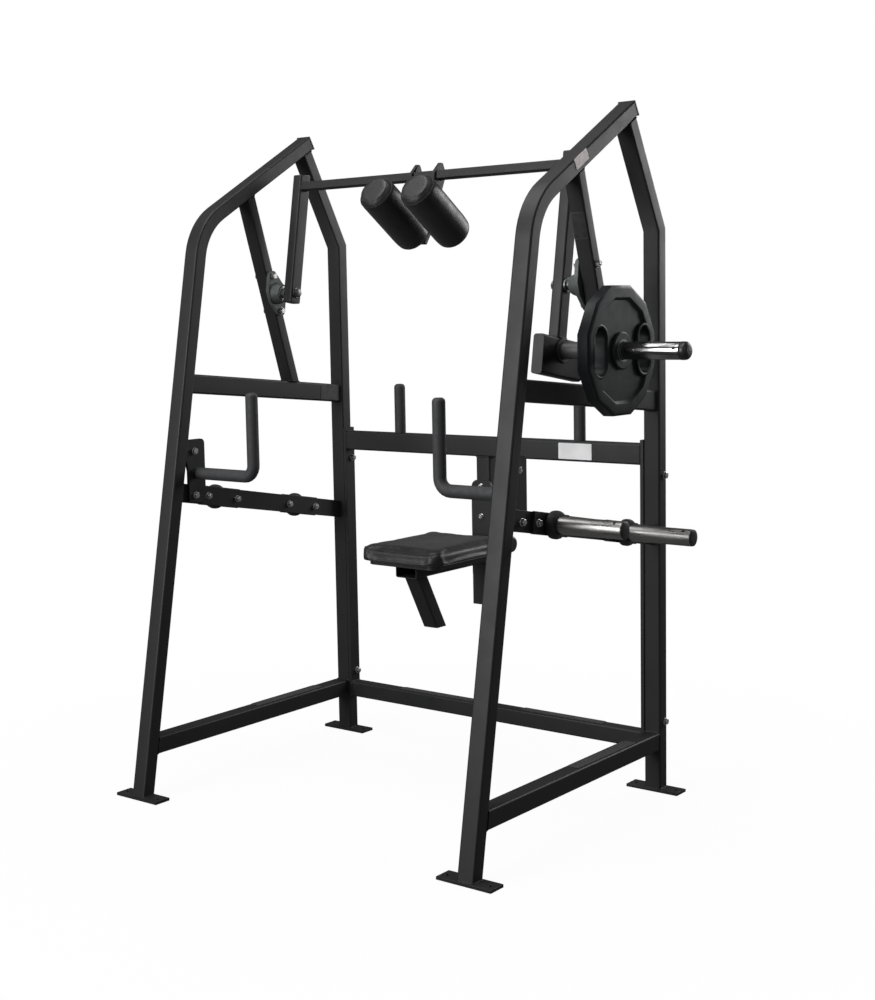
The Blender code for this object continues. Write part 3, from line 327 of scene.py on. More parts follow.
def tread():
    """Black anti-slip strip with coarse grit."""
    finish = Surface("black_grit_strip")
    finish.colour(finish.mix(finish.cells(420), (0.010, 0.010, 0.010), (0.060, 0.060, 0.062)))
    finish.roughness(finish.between(finish.noise(200), 0.62, 0.85))
    finish.relief((finish.cells(420), 0.8, 0.0010), (finish.noise(900), 0.5, 0.0006))
    return finish.material


FRAME_COAT = powder_coat()
CHROME = chrome()
HORN_STEEL = storage_horn_finish()
WEIGHT_HORN = weight_horn_finish()
ZINC = zinc()
DULL_STEEL = dull_steel()
HOUSING = cast_housing()
RUBBER = rubber("black_moulded_rubber", (0.010, 0.010, 0.010), (0.024, 0.024, 0.025), 0.55, 0.75, 700)
GRIP = rubber("charcoal_grip_rubber", (0.026, 0.0265, 0.028), (0.040, 0.041, 0.044), 0.60, 0.76, 520)
PLASTIC = rubber("black_moulded_plastic", (0.010, 0.010, 0.011), (0.019, 0.019, 0.020), 0.30, 0.46, 900)
VINYL = vinyl()
PLATE = plate_coating()
TREAD = tread()
SILVER_LABEL = label("silver_label", (0.74, 0.74, 0.75), (0.84, 0.84, 0.85), 14)
ROOF_LABEL = label("pale_label", (0.92, 0.90, 0.90), (0.80, 0.60, 0.61), 60)
DARK_PLACARD = label("dark_placard", (0.016, 0.016, 0.017), (0.030, 0.030, 0.032), 30)

SLOT_FINISHES = {
    "powder_coat": FRAME_COAT,
    "chrome": CHROME,
    "zinc_steel": DULL_STEEL,
    "rubber": RUBBER,
    "grip_rubber": GRIP,
    "vinyl": VINYL,
    "plate_coating": PLATE,
    "cast_housing": HOUSING,
    "plastic": PLASTIC,
}


# ---------------------------------------------------------------- CAD parts


def smoothing_group():
    """Joins split corners, drops stored normals and shades smooth below an angle."""
    group = bpy.data.node_groups.new("clean_shading", "GeometryNodeTree")
    group.interface.new_socket("Geometry", in_out="INPUT", socket_type="NodeSocketGeometry")
    group.interface.new_socket("Geometry", in_out="OUTPUT", socket_type="NodeSocketGeometry")
    nodes = group.nodes
    start = nodes.new("NodeGroupInput")
    merge = nodes.new("GeometryNodeMergeByDistance")
    merge.inputs["Distance"].default_value = 0.00002
    drop = nodes.new("GeometryNodeRemoveAttribute")
    drop.inputs["Name"].default_value = "custom_normal"
    smooth = nodes.new("GeometryNodeSetShadeSmooth")
    angle = nodes.new("GeometryNodeInputMeshEdgeAngle")
    steep = nodes.new("FunctionNodeCompare")
    steep.operation = "GREATER_THAN"
    steep.inputs[1].default_value = radians(35)
    sharpen = nodes.new("GeometryNodeSetShadeSmooth")
    sharpen.domain = "EDGE"
    sharpen.inputs["Shade Smooth"].default_value = False
    finish = nodes.new("NodeGroupOutput")
    chain = (start, merge, drop, smooth, sharpen, finish)
    for before, after in zip(chain, chain[1:]):
        group.links.new(before.outputs[0], after.inputs[0])
    group.links.new(angle.outputs["Unsigned Angle"], steep.inputs[0])
    group.links.new(steep.outputs[0], sharpen.inputs["Selection"])
    return group


def finish_cad_parts():
    """Gives every CAD part its finish, and softens its hard edges by under a millimetre."""
    group = smoothing_group()
    slots = {row["node"]: row["material_slot"] for row in frame["record"]["subparts"]}
    for name, item in frame["nodes"].items():
        material = SLOT_FINISHES[slots[name]]
        if name.startswith("storage_horn"):
            material = HORN_STEEL
        elif name == "weight_horn":
            material = WEIGHT_HORN
        item.data.materials.clear()
        item.data.materials.append(material)
        clean = item.modifiers.new("clean_shading", "NODES")
        clean.node_group = group
        flat = item.modifiers.new("join_flat_faces", "DECIMATE")
        flat.decimate_type = "DISSOLVE"
        flat.angle_limit = radians(0.5)
        soft = item.modifiers.new("soft_edges", "BEVEL")
        soft.width = 0.0008
        soft.segments = 2
        soft.limit_method = "ANGLE"
        soft.angle_limit = radians(50)
        even = item.modifiers.new("even_shading", "WEIGHTED_NORMAL")
        even.keep_sharp = True


# ---------------------------------------------------------------- mesh tools


def square_to(direction):
    """Two unit vectors square to a direction and to each other."""
    across = direction.orthogonal().normalized()
    return across, direction.cross(across)


def skin(bm, rings, closed=False):
    """Quads between successive rings of points; closed joins the last ring to the first."""
    made = [[bm.verts.new(point) for point in ring] for ring in rings]
    pairs = list(zip(made, made[1:]))
    if closed:
        pairs.append((made[-1], made[0]))
    for ring, following in pairs:
        for i in range(len(ring)):
            j = (i + 1) % len(ring)
            bm.faces.new((ring[i], ring[j], following[j], following[i]))
    if not closed:
        bm.faces.new(made[0])
        bm.faces.new(made[-1])


def circle(centre, across, other, radius, segments):
    turns = [2 * pi * i / segments for i in range(segments)]
    return [centre + (across * cos(t) + other * sin(t)) * radius for t in turns]


def turned(bm, profile, base, axis, segments=32, closed=False):
    """Adds a turned solid from (distance along the axis, radius) points."""
    across, other = square_to(axis)
    skin(bm, [circle(base + axis * a, across, other, r, segments) for a, r in profile], closed)


def round_rope(bm, path, radii, sides=8, closed=True):
    """Adds a rope of round section along a path, with a radius for each point."""
    count = len(path)
    rings = []
    across = None
    for i, point in enumerate(path):
        before = path[i - 1] if closed or i else point
        after = path[(i + 1) % count] if closed or i + 1 < count else point
        along = (after - before).normalized()
        across = along.orthogonal() if across is None else across - along * across.dot(along)
        across.normalize()
        rings.append(circle(point, across, along.cross(across), radii[i], sides))
    if closed:
        last, first = rings[-1], rings[0]
        shift = min(range(sides), key=lambda s: (first[s] - last[0]).length)
        rings.append([first[(i + shift) % sides] for i in range(sides)])
        made = [[bm.verts.new(point) for point in ring] for ring in rings[:-1]]
        made.append([made[0][(i + shift) % sides] for i in range(sides)])
        for ring, following in zip(made, made[1:]):
            for i in range(sides):
                j = (i + 1) % sides
                bm.faces.new((ring[i], ring[j], following[j], following[i]))
    else:
        skin(bm, rings)


def piece(name, bm, material, body, sharp=40):
    """Turns a bmesh into a named piece that rides on a CAD body."""
    bmesh.ops.recalc_face_normals(bm, faces=bm.faces)
    mesh = bpy.data.meshes.new(name)
    bm.to_mesh(mesh)
    bm.free()
    mesh.shade_smooth()
    mesh.set_sharp_from_angle(angle=radians(sharp))
    mesh.materials.append(material)
    item = bpy.data.objects.new(name, mesh)
    bpy.context.scene.collection.objects.link(item)
    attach(item, body)
    return item


def slab(bm, centre, u, v, size, thickness, corner=0.004, steps=4):
    """Adds a thin plate with round corners and a softened rim, standing on a face whose normal is u x v."""
    out = u.cross(v).normalized()
    rim = min(thickness * 0.4, 0.0008)
    rings = []
    for height, inset in ((0, 0), (thickness - rim, 0), (thickness, rim)):
        half_u, half_v, radius = size[0] / 2 - inset, size[1] / 2 - inset, corner - inset
        ring = []
        for k, (a, b) in enumerate(((1, 1), (-1, 1), (-1, -1), (1, -1))):
            middle_of_arc = u * a * (half_u - radius) + v * b * (half_v - radius)
            for i in range(steps + 1):
                turn = pi / 2 * (k + i / steps)
                around = (u * cos(turn) + v * sin(turn)) * radius
                ring.append(centre + middle_of_arc + around + out * height)
        rings.append(ring)
    skin(bm, rings)


def end_outline(node, direction):
    """Outer outline of a tube's end, in order; direction points out of that end, square to its cut."""
    points = [vertex.co for vertex in frame["nodes"][node].data.vertices]
    furthest = max(point.dot(direction) for point in points)
    across, other = square_to(direction)
    ends = [point for point in points if point.dot(direction) > furthest - 0.0001]
    flat = sorted({(round(p.dot(across), 5), round(p.dot(other), 5)) for p in ends})
    outline = []
    for run in (flat, flat[::-1]):
        chain = []
        for point in run:
            while len(chain) > 1:
                (ax, ay), (bx, by) = chain[-2], chain[-1]
                if (bx - ax) * (point[1] - ay) - (by - ay) * (point[0] - ax) > 1e-10:
                    break
                chain.pop()
            chain.append(point)
        outline += chain[:-1]
    return [across * a + other * b + direction * furthest for a, b in outline]


# ---------------------------------------------------------------- fasteners


def hexagon(bm, base, axis, flats, height, segments=24):
    """Adds a bolt head or nut with its chamfered top."""
    across, other = square_to(axis)
    half = flats / 2
    rings = [[], [], []]
    for i in range(segments):
        turn = 2 * pi * i / segments
        reach = half / cos(turn % (pi / 3) - pi / 6)
        outward = across * cos(turn) + other * sin(turn)
        shoulder = height - (reach - half) * 0.6 - 0.0004
        rings[0].append(base + outward * reach)
        rings[1].append(base + axis * shoulder + outward * reach)
        rings[2].append(base + axis * height + outward * half * 0.94)
    skin(bm, rings)


def fasteners(name, body, places, axis, nut=False, flats=0.017):
    """One piece for a group of hexagon heads or nuts, each on a washer, standing on the given points."""
    bm = bmesh.new()
    washer = flats * 0.63
    for place in places:
        turned(bm, [(0, washer), (0.0016, washer), (0.0020, washer - 0.0005)], place, axis)
        hexagon(bm, place + axis * 0.0021, axis, flats, 0.0085 if nut else 0.0072)
        if nut:
            turned(bm, [(0.004, 0.0050), (0.0135, 0.0050), (0.0145, 0.0042)], place, axis, 20)
    return piece(name, bm, ZINC, body, 30)


def add_bar_fasteners(side, sign):
    """Bolts and nuts through the storage bar: the handle plate's, then the horn bases'."""
    outward = RIGHT * sign
    outer, inner = side_x(f"storage_bar_{side}", sign), side_x(f"storage_bar_{side}", -sign)
    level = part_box(f"side_grip_{side}")[0].z + GRIP_RADIUS
    handle_y = middle(f"side_grip_{side}").y - 0.004
    low, high = level - HANDLE_BOLTS, level + HANDLE_BOLTS
    heads = [Vector((inner - sign * BASE_PLATE, handle_y, z)) for z in (low, high)]
    fasteners(f"handle_bolts_{side}", "frame", heads, -outward)
    nuts = [Vector((outer, handle_y, low)), Vector((inner, handle_y, high))]
    fasteners(f"handle_nuts_{side}", "frame", nuts, outward, nut=True)
    heads, nuts = [], []
    for place in ("front", "rear"):
        horn = middle(f"horn_collar_{place}_{side}")
        for reach in (-HORN_BOLTS, HORN_BOLTS):
            point = horn + BAR_ALONG * reach
            heads.append(Vector((outer + sign * BASE_PLATE, point.y, point.z)))
            nuts.append(Vector((inner, point.y, point.z)))
    fasteners(f"horn_base_bolts_{side}", "frame", heads, outward)
    fasteners(f"horn_base_nuts_{side}", "frame", nuts, -outward, nut=True)


def add_flange_fasteners(side, sign):
    """Bolts and nuts that hold the rear crossbars' flange to the upright."""
    outward = RIGHT * sign
    outer, inner = side_x(f"rear_upright_{side}", sign), side_x(f"crossbar_flange_{side}", -sign)
    rear = middle(f"crossbar_flange_{side}").y + 0.009
    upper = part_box("upper_crossbar")[0].z - 0.030
    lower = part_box("lower_crossbar")[1].z + 0.035
    heads = [Vector((outer, rear, z)) for z in (upper, lower)]
    fasteners(f"flange_bolts_{side}", "frame", heads, outward)
    nuts = [Vector((inner, rear, z)) for z in (upper, lower)]
    fasteners(f"flange_nuts_{side}", "frame", nuts, -outward, nut=True)


def add_pivot_fasteners(side, sign):
    """The bearing's bolts, nuts and face ring, and the nut on the arm's shaft."""
    outward = RIGHT * sign
    pivot = middle("pivot_shaft_left")
    face, strut_outer = side_x(f"pivot_bearing_{side}", sign), side_x(f"pivot_strut_{side}", sign)
    heads, nuts = [], []
    for reach in (-BEARING_BOLTS, BEARING_BOLTS):
        point = Vector((0, pivot.y, pivot.z)) + STRUT_UP * reach
        heads.append(Vector((face - sign * BEARING_PLATE, point.y, point.z)))
        nuts.append(Vector((strut_outer, point.y, point.z)))
    fasteners(f"bearing_bolts_{side}", "frame", heads, -outward)
    fasteners(f"bearing_nuts_{side}", "frame", nuts, outward, nut=True)
    bm = bmesh.new()
    hub = Vector((side_x(f"pivot_bearing_{side}", -sign), pivot.y, pivot.z))
    ring = [(0.0002, 0.0160), (0.0018, 0.0160), (0.0018, 0.0225), (0.0002, 0.0225)]
    turned(bm, ring, hub, -outward, closed=True)
    piece(f"bearing_ring_{side}", bm, ZINC, "frame", 30)
    bm = bmesh.new()
    place = Vector((side_x(f"swing_arm_{side}", -sign), pivot.y, pivot.z))
    turned(bm, [(0, 0.0165), (0.002, 0.0165), (0.0025, 0.016)], place, -outward)
    hexagon(bm, place - outward * 0.0026, -outward, 0.024, 0.009)
    piece(f"pivot_nut_{side}", bm, DULL_STEEL, "swing_arm", 30)


def add_fasteners():
    for side, sign in SIDES:
        add_bar_fasteners(side, sign)
        add_flange_fasteners(side, sign)
        add_pivot_fasteners(side, sign)
    plate_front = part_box("seat_post")[0].y - SEAT_PLATE
    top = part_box("seat_carriage")[1].z
    heads = [Vector((MIDLINE_X, plate_front, top - drop)) for drop in (0.020, 0.118)]
    fasteners("seat_plate_bolts", "seat", heads, -REARWARD, flats=0.014)


# ---------------------------------------------------------------- welds


def weld_bead(bm, outline, radius=0.0021, pitch=0.0022):
    """Adds a rippled bead along a closed outline."""
    path = []
    for start, end in zip(outline, outline[1:] + outline[:1]):
        steps = max(1, round((end - start).length / pitch))
        path += [start.lerp(end, i / steps) for i in range(steps)]
    if len(path) % 2:
        path.append(path[-1].lerp(path[0], 0.5))
    radii = [radius * (1.16 if i % 2 else 0.90) for i in range(len(path))]
    round_rope(bm, path, radii, 6)


def add_welds():
    rail_up = Vector((0, SIDE_RAIL_SLOPE, 1)).normalized()
    for side, sign in SIDES:
        joints = [(f"pivot_strut_{side}", ROOF_UP), (f"pivot_strut_{side}", -rail_up)]
        joints += [(f"rear_upright_{side}", ROOF_UP), (f"rear_upright_{side}", -UP)]
        joints += [(f"front_leg_{side}", -UP)]
        for rail in ("base_rail", "side_rail"):
            joints += [(f"{rail}_{side}", LEG_FRONT), (f"{rail}_{side}", REARWARD)]
        bm = bmesh.new()
        for node, direction in joints:
            weld_bead(bm, end_outline(node, direction))
        piece(f"side_frame_welds_{side}", bm, FRAME_COAT, "frame", 60)
        bm = bmesh.new()
        for bar in ("upper_crossbar", "lower_crossbar"):
            weld_bead(bm, end_outline(bar, RIGHT * sign))
        piece(f"crossbar_welds_{side}", bm, FRAME_COAT, "frame", 60)
        bm = bmesh.new()
        grip_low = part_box(f"side_grip_{side}")[0]
        plate_x = side_x(f"storage_bar_{side}", -sign) - sign * BASE_PLATE
        start = Vector((plate_x, grip_low.y + GRIP_RADIUS, grip_low.z + GRIP_RADIUS))
        weld_bead(bm, circle(start, REARWARD, UP, 0.0150, 40), 0.0028)
        piece(f"handle_weld_{side}", bm, FRAME_COAT, "frame", 60)
    bm = bmesh.new()
    for direction in (RIGHT, -RIGHT):
        weld_bead(bm, end_outline("arm_crossbar", direction), 0.0017)
    weld_bead(bm, end_outline("swing_arm_right", -ARM_UP), 0.0020)
    horn = middle("weight_horn")
    base_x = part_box("weight_horn")[0].x
    weld_bead(bm, circle(Vector((base_x, horn.y, horn.z)), REARWARD, UP, 0.0345, 72), 0.0020)
    piece("swing_arm_welds", bm, FRAME_COAT, "swing_arm", 60)
    bm = bmesh.new()
    weld_bead(bm, end_outline("seat_post", UP))
    piece("seat_post_weld", bm, FRAME_COAT, "frame", 60)


# ---------------------------------------------------------------- plugs, horn caps, plate details


def plug(name, node, direction, body, thickness=0.0022):
    """Moulded plug over a tube's open end, a little inside its outline."""
    outline = end_outline(node, direction)
    centre = sum(outline, Vector()) / len(outline)
    rings = []
    for height, scale in ((0.0001, 0.96), (thickness * 0.6, 0.96), (thickness, 0.90)):
        rings.append([centre + (point - centre) * scale + direction * height for point in outline])
    bm = bmesh.new()
    skin(bm, rings)
    return piece(name, bm, PLASTIC, body, 30)


def hole_rim_and_painted_shade(bm, centre, out, radius):
    """Adds a raised lip and a dark disc inside it; the disc is painted shade for the dark inside of a
    drilled hole.
    """
    lip = [(0.0001, radius * 0.72), (0.0007, radius * 0.80), (0.0007, radius), (0.0001, radius * 1.08)]
    turned(bm, lip, centre, out, 24, closed=True)
    # Dark disc: painted shade where the hole's inside would be.
    turned(bm, [(0.0001, radius * 0.74), (0.0004, radius * 0.74)], centre, out, 24)


def add_horn_details():
    toward_front = Vector((0, -0.6, 0.8))
    for side, sign in SIDES:
        caps, hole_shades = bmesh.new(), bmesh.new()
        for place in ("front", "rear"):
            collar = middle(f"horn_collar_{place}_{side}")
            tip = Vector((side_x(f"storage_horn_{place}_{side}", sign), collar.y, collar.z))
            cap = [(-0.0010, 0.0236), (0.0004, 0.0236), (0.0012, 0.0222), (0.0012, 0.0060)]
            turned(caps, cap, tip, RIGHT * sign)
            spot = tip - RIGHT * sign * 0.024 + toward_front * 0.0242
            # A lip with a dark disc of painted shade for the small hole near the tip.
            hole_rim_and_painted_shade(hole_shades, spot, toward_front, 0.0042)
        piece(f"storage_horn_caps_{side}", caps, PLASTIC, "frame", 30)
        piece(f"storage_horn_holes_{side}", hole_shades, RUBBER, "frame", 30)
    axis = middle("weight_horn")
    tip_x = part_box("weight_horn")[1].x
    bm = bmesh.new()
    radius, dome = 0.0250, 0.0130
    profile = [(-0.0230, radius - 0.0004), (-0.0225, radius)]
    for i in range(7):
        turn = pi / 2 * i / 6
        profile.append((-dome + dome * sin(turn) + 0.0006, radius - dome * (1 - cos(turn))))
    turned(bm, profile, Vector((tip_x, axis.y, axis.z)), RIGHT, 40)
    piece("weight_horn_cap", bm, PLASTIC, "swing_arm", 40)
    bm = bmesh.new()
    out = Vector((0, -0.95, 0.31)).normalized()
    # A lip with a dark disc of painted shade for the hole near the horn's tip.
    hole_rim_and_painted_shade(bm, Vector((tip_x - 0.036, axis.y, axis.z)) + out * 0.0244, out, 0.0046)
    piece("weight_horn_hole_shade", bm, RUBBER, "swing_arm", 30)


def stadium(x, y, z, half_width, half_height, steps=14):
    """Upright oval outline with straight sides, in a plane of constant X."""
    points = []
    for end, start in ((1, 0), (-1, pi)):
        for i in range(steps + 1):
            turn = start + pi * i / steps
            rise = end * (half_height - half_width)
            points.append(Vector((x, y + half_width * cos(turn), z + rise + half_width * sin(turn))))
    return points


def add_plate_details():
    """Raised lips round the hand openings and a steel ring in the bore; no lettering."""
    low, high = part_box("weight_plate")
    axis = middle("weight_horn")
    bm = bmesh.new()
    for reach in (-HAND_OPENING_REACH, HAND_OPENING_REACH):
        for x in (high.x - 0.0045, low.x + 0.0030):
            lip = stadium(x, axis.y + reach, axis.z, 0.0355, 0.0700)
            round_rope(bm, lip, [0.0052] * len(lip), 10)
    piece("plate_grip_lips", bm, PLATE, "weight_plate", 60)
    bm = bmesh.new()
    ring = [(0.0001, 0.0256), (0.0012, 0.0262), (0.0012, 0.0310), (0.0001, 0.0316)]
    turned(bm, ring, Vector((high.x, axis.y, axis.z)), RIGHT, 40, closed=True)
    piece("plate_bore_ring", bm, DULL_STEEL, "weight_plate", 30)


def add_plugs():
    for side, _ in SIDES:
        plug(f"swing_arm_plug_{side}", f"swing_arm_{side}", UP, "swing_arm")
    plug("swing_arm_lower_plug_left", "swing_arm_left", -ARM_UP, "swing_arm")
    plug("lever_box_plug", "lever_box", ARM_REAR, "swing_arm", 0.0030)


# ---------------------------------------------------------------- labels and treads


def framed_plate(name, centre, u, v, size, body, material, border=None):
    """Thin plate with an optional paler border piece under it."""
    out = u.cross(v).normalized()
    bm = bmesh.new()
    slab(bm, centre + out * 0.0004, u, v, size, 0.0006, 0.003)
    piece(name, bm, material, body, 30)
    if border:
        bm = bmesh.new()
        margin = 0.004
        slab(bm, centre + out * 0.0001, u, v, (size[0] + margin, size[1] + margin), 0.0005, 0.004)
        piece(f"{name}_border", bm, border, body, 30)


def add_labels():
    leg_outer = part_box("front_leg_right")[1].x
    roof_place = Vector((leg_outer, 0.041, 1.868))
    framed_plate("roof_label", roof_place, ROOF_ALONG, ROOF_UP, (0.071, 0.031), "frame", ROOF_LABEL)
    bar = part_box("upper_crossbar")
    place = Vector((MIDLINE_X + 0.353, bar[0].y, middle("upper_crossbar").z))
    framed_plate("crossbar_label", place, RIGHT, UP, (0.121, 0.050), "frame", SILVER_LABEL)
    pivot = middle("pivot_shaft_right")
    strut_x = middle("pivot_strut_right").x
    strut_front = Vector((strut_x, pivot.y, pivot.z)) + STRUT_FRONT * STRUT_HALF_DEPTH
    place = strut_front + STRUT_UP * 0.172
    framed_plate("strut_placard", place, RIGHT, STRUT_UP, (0.040, 0.072), "frame", DARK_PLACARD, GRIP)
    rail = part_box("side_rail_left")
    along = Vector((0, 1, -SIDE_RAIL_SLOPE)).normalized()
    place = Vector((rail[1].x, 0.401, 1.1965))
    across = Vector((0, SIDE_RAIL_SLOPE, 1)).normalized()
    framed_plate("rail_placard", place, along, across, (0.084, 0.048), "frame", DARK_PLACARD, GRIP)
    bm = bmesh.new()
    left_x = middle("pivot_strut_left").x
    for drop in (0.150, 0.196, 0.242):
        place = Vector((left_x - 0.004, pivot.y, pivot.z)) + STRUT_FRONT * STRUT_HALF_DEPTH - STRUT_UP * drop
        # Each hole is a lip with a dark disc of painted shade inside it.
        hole_rim_and_painted_shade(bm, place, STRUT_FRONT, 0.0065)
    piece("strut_hole_rims_and_shade_left", bm, PLASTIC, "frame", 30)


def add_treads():
    """Grit strips stuck on the base rails and the lower crossbar."""
    for side, _ in SIDES:
        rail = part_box(f"base_rail_{side}")
        bm = bmesh.new()
        place = Vector((middle(f"base_rail_{side}").x, 0.170, rail[1].z + 0.0001))
        slab(bm, place, RIGHT, REARWARD, (0.040, 0.310), TREAD_THICKNESS, 0.006)
        piece(f"base_rail_tread_{side}", bm, TREAD, "frame", 30)
    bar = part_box("lower_crossbar")
    for side, start, end in (("left", -0.370, -0.060), ("right", 0.130, 0.440)):
        bm = bmesh.new()
        place = Vector((MIDLINE_X + (start + end) / 2, middle("lower_crossbar").y, bar[1].z + 0.0001))
        slab(bm, place, RIGHT, REARWARD, (end - start, 0.030), TREAD_THICKNESS, 0.006)
        piece(f"crossbar_tread_{side}", bm, TREAD, "frame", 30)


# ---------------------------------------------------------------- upholstery


def evaluated_mesh(item):
    bpy.context.view_layer.update()
    graph = bpy.context.evaluated_depsgraph_get()
    return bpy.data.meshes.new_from_object(item.evaluated_get(graph))


def puff(item, pressure, cap, held, voxel):
    """Swells a closed form as sewn foam does: even mesh, cloth under pressure, limited travel.

    held(point) is true where the cover is fixed to its board or tube.
    """
    even = item.modifiers.new("even_mesh", "REMESH")
    even.mode = "VOXEL"
    even.voxel_size = voxel
    even.use_smooth_shade = True
    item.data = evaluated_mesh(item)
    item.modifiers.clear()
    start = [vertex.co.copy() for vertex in item.data.vertices]
    group = item.vertex_groups.new(name="held")
    group.add([i for i, point in enumerate(start) if held(point)], 1.0, "REPLACE")
    cloth = item.modifiers.new("foam", "CLOTH")
    settings = cloth.settings
    settings.quality = 6
    settings.mass = 0.3
    settings.tension_stiffness = 18
    settings.compression_stiffness = 18
    settings.shear_stiffness = 8
    settings.bending_stiffness = 0.6
    settings.use_pressure = True
    settings.uniform_pressure_force = pressure
    settings.vertex_group_mass = "held"
    settings.effector_weights.gravity = 0
    scene = bpy.context.scene
    scene.frame_start = 1
    scene.frame_end = 20
    for step in range(1, 21):
        scene.frame_set(step)
    item.data = evaluated_mesh(item)
    item.modifiers.clear()
    item.vertex_groups.clear()
    for vertex, origin in zip(item.data.vertices, start):
        travel = vertex.co - origin
        if travel.length > cap:
            vertex.co = origin + travel.normalized() * cap
    scene.frame_set(1)
    smooth = item.modifiers.new("smooth_cover", "SMOOTH")
    smooth.factor = 0.5
    smooth.iterations = 4
    finer = item.modifiers.new("finer_cover", "SUBSURF")
    finer.levels = 1
    finer.render_levels = 1
    item.data.shade_smooth()


def on_surface(tree, point, lift):
    """The nearest point of a cover to a point, raised by lift along its normal."""
    place, normal, _, _ = tree.find_nearest(point)
    return place + normal * lift


def cover_tree(item):
    mesh = evaluated_mesh(item)
    points = [vertex.co for vertex in mesh.vertices]
    return BVHTree.FromPolygons(points, [tuple(face.vertices) for face in mesh.polygons])


def rounded_outline(low, high, radius, z, steps=10):
    """Closed outline of a rectangle with round corners, at a height."""
    points = []
    corners = ((high[0], high[1], 0), (low[0], high[1], 90), (low[0], low[1], 180), (high[0], low[1], 270))
    for x, y, start in corners:
        centre_x = x - radius if x == high[0] else x + radius
        centre_y = y - radius if y == high[1] else y + radius
        for i in range(steps + 1):
            turn = radians(start + 90 * i / steps)
            points.append(Vector((centre_x + radius * cos(turn), centre_y + radius * sin(turn), z)))
    return points


def spaced(outline, pitch):
    """A closed outline with points at most pitch apart."""
    path = []
    for start, end in zip(outline, outline[1:] + outline[:1]):
        steps = max(1, round((end - start).length / pitch))
        path += [start.lerp(end, i / steps) for i in range(steps)]
    return path


def add_seat_cushion():
    """Flat-topped cushion: a top panel sewn to a bulging border, with a lower seam above the board."""
    low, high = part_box("seat_pad")
    inset, corner = 0.0010, 0.040
    levels = (
        (0.010, low.z + 0.0010),
        (0.001, low.z + 0.0065),
        (0, low.z + 0.0140),
        (0, high.z - 0.0120),
        (0.0035, high.z - 0.0060),
        (0.016, high.z - 0.0035),
        (0.050, high.z - 0.0030),
    )
    bm = bmesh.new()
    rings = []
    for step_in, z in levels:
        shrink = inset + step_in
        start = (low.x + shrink, low.y + shrink)
        end = (high.x - shrink, high.y - shrink)
        rings.append(rounded_outline(start, end, max(corner - step_in, 0.006), z))
    skin(bm, rings)
    cushion = piece("seat_cushion", bm, VINYL, "seat", 180)
    cushion.parent = None
    puff(cushion, 4.0, 0.0080, lambda point: point.z < low.z + 0.0045, 0.0055)
    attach(cushion, "seat")
    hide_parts("seat_pad")
    tree = cover_tree(cushion)
    seams = (
        ("seat_top_seam", high.z - 0.0042, 0.0085, 0.0017),
        ("seat_bottom_seam", low.z + 0.0050, 0.0075, 0.0015),
    )
    for name, z, step_in, radius in seams:
        start = (low.x + step_in, low.y + step_in)
        end = (high.x - step_in, high.y - step_in)
        outline = spaced(rounded_outline(start, end, corner - 0.003, z), 0.006)
        path = [on_surface(tree, point, 0.0003) for point in outline]
        bm = bmesh.new()
        round_rope(bm, path, [radius] * len(path), 8)
        piece(name, bm, VINYL, "seat", 60)


def add_roller_covers():
    """Foam rollers in vinyl: a flat sewn disc and a chamfer at the front, a soft round rear end."""
    square = Vector((0, sin(ROLLER_TILT), cos(ROLLER_TILT)))
    for side, _ in SIDES:
        centre = middle(f"head_roller_{side}")
        points = [v.co - centre for v in frame["nodes"][f"head_roller_{side}"].data.vertices]
        half = max(abs(point.dot(ROLLER_ALONG)) for point in points)
        radius = max(abs(point.x) for point in points)
        front = centre - ROLLER_ALONG * half
        core = 0.0115
        profile = [(0.0012, core), (0.0012, radius - 0.0170), (0.0040, radius - 0.0150)]
        profile += [(0.0150, radius - 0.0045), (0.0240, radius - 0.0028)]
        profile += [(half * 2 * i / 12, radius - 0.0028) for i in range(2, 11)]
        profile += [(half * 2 - 0.0150, radius - 0.0050), (half * 2 - 0.0060, radius - 0.0110)]
        profile += [(half * 2 - 0.0010, radius - 0.0230), (half * 2 - 0.0008, core)]
        bm = bmesh.new()
        turned(bm, profile, front, ROLLER_ALONG, 72)
        cover = piece(f"roller_cover_{side}", bm, VINYL, f"head_roller_{side}", 180)
        cover.parent = None

        def held(point, front=front, half=half):
            along = (point - front).dot(ROLLER_ALONG)
            return along < 0.0042 or along > half * 2 - 0.004

        puff(cover, 3.0, 0.0030, held, 0.0050)
        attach(cover, f"head_roller_{side}")
        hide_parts(f"head_roller_{side}")
        tree = cover_tree(cover)
        for place, along, reach in (("front", 0.0030, radius - 0.0158), ("edge", 0.0168, radius - 0.0035)):
            ring = circle(front + ROLLER_ALONG * along, RIGHT, square, reach, 72)
            path = [on_surface(tree, point, 0.0002) for point in ring]
            bm = bmesh.new()
            round_rope(bm, path, [0.0011] * len(path), 8)
            piece(f"roller_{place}_seam_{side}", bm, VINYL, f"head_roller_{side}", 60)


# ---------------------------------------------------------------- studio


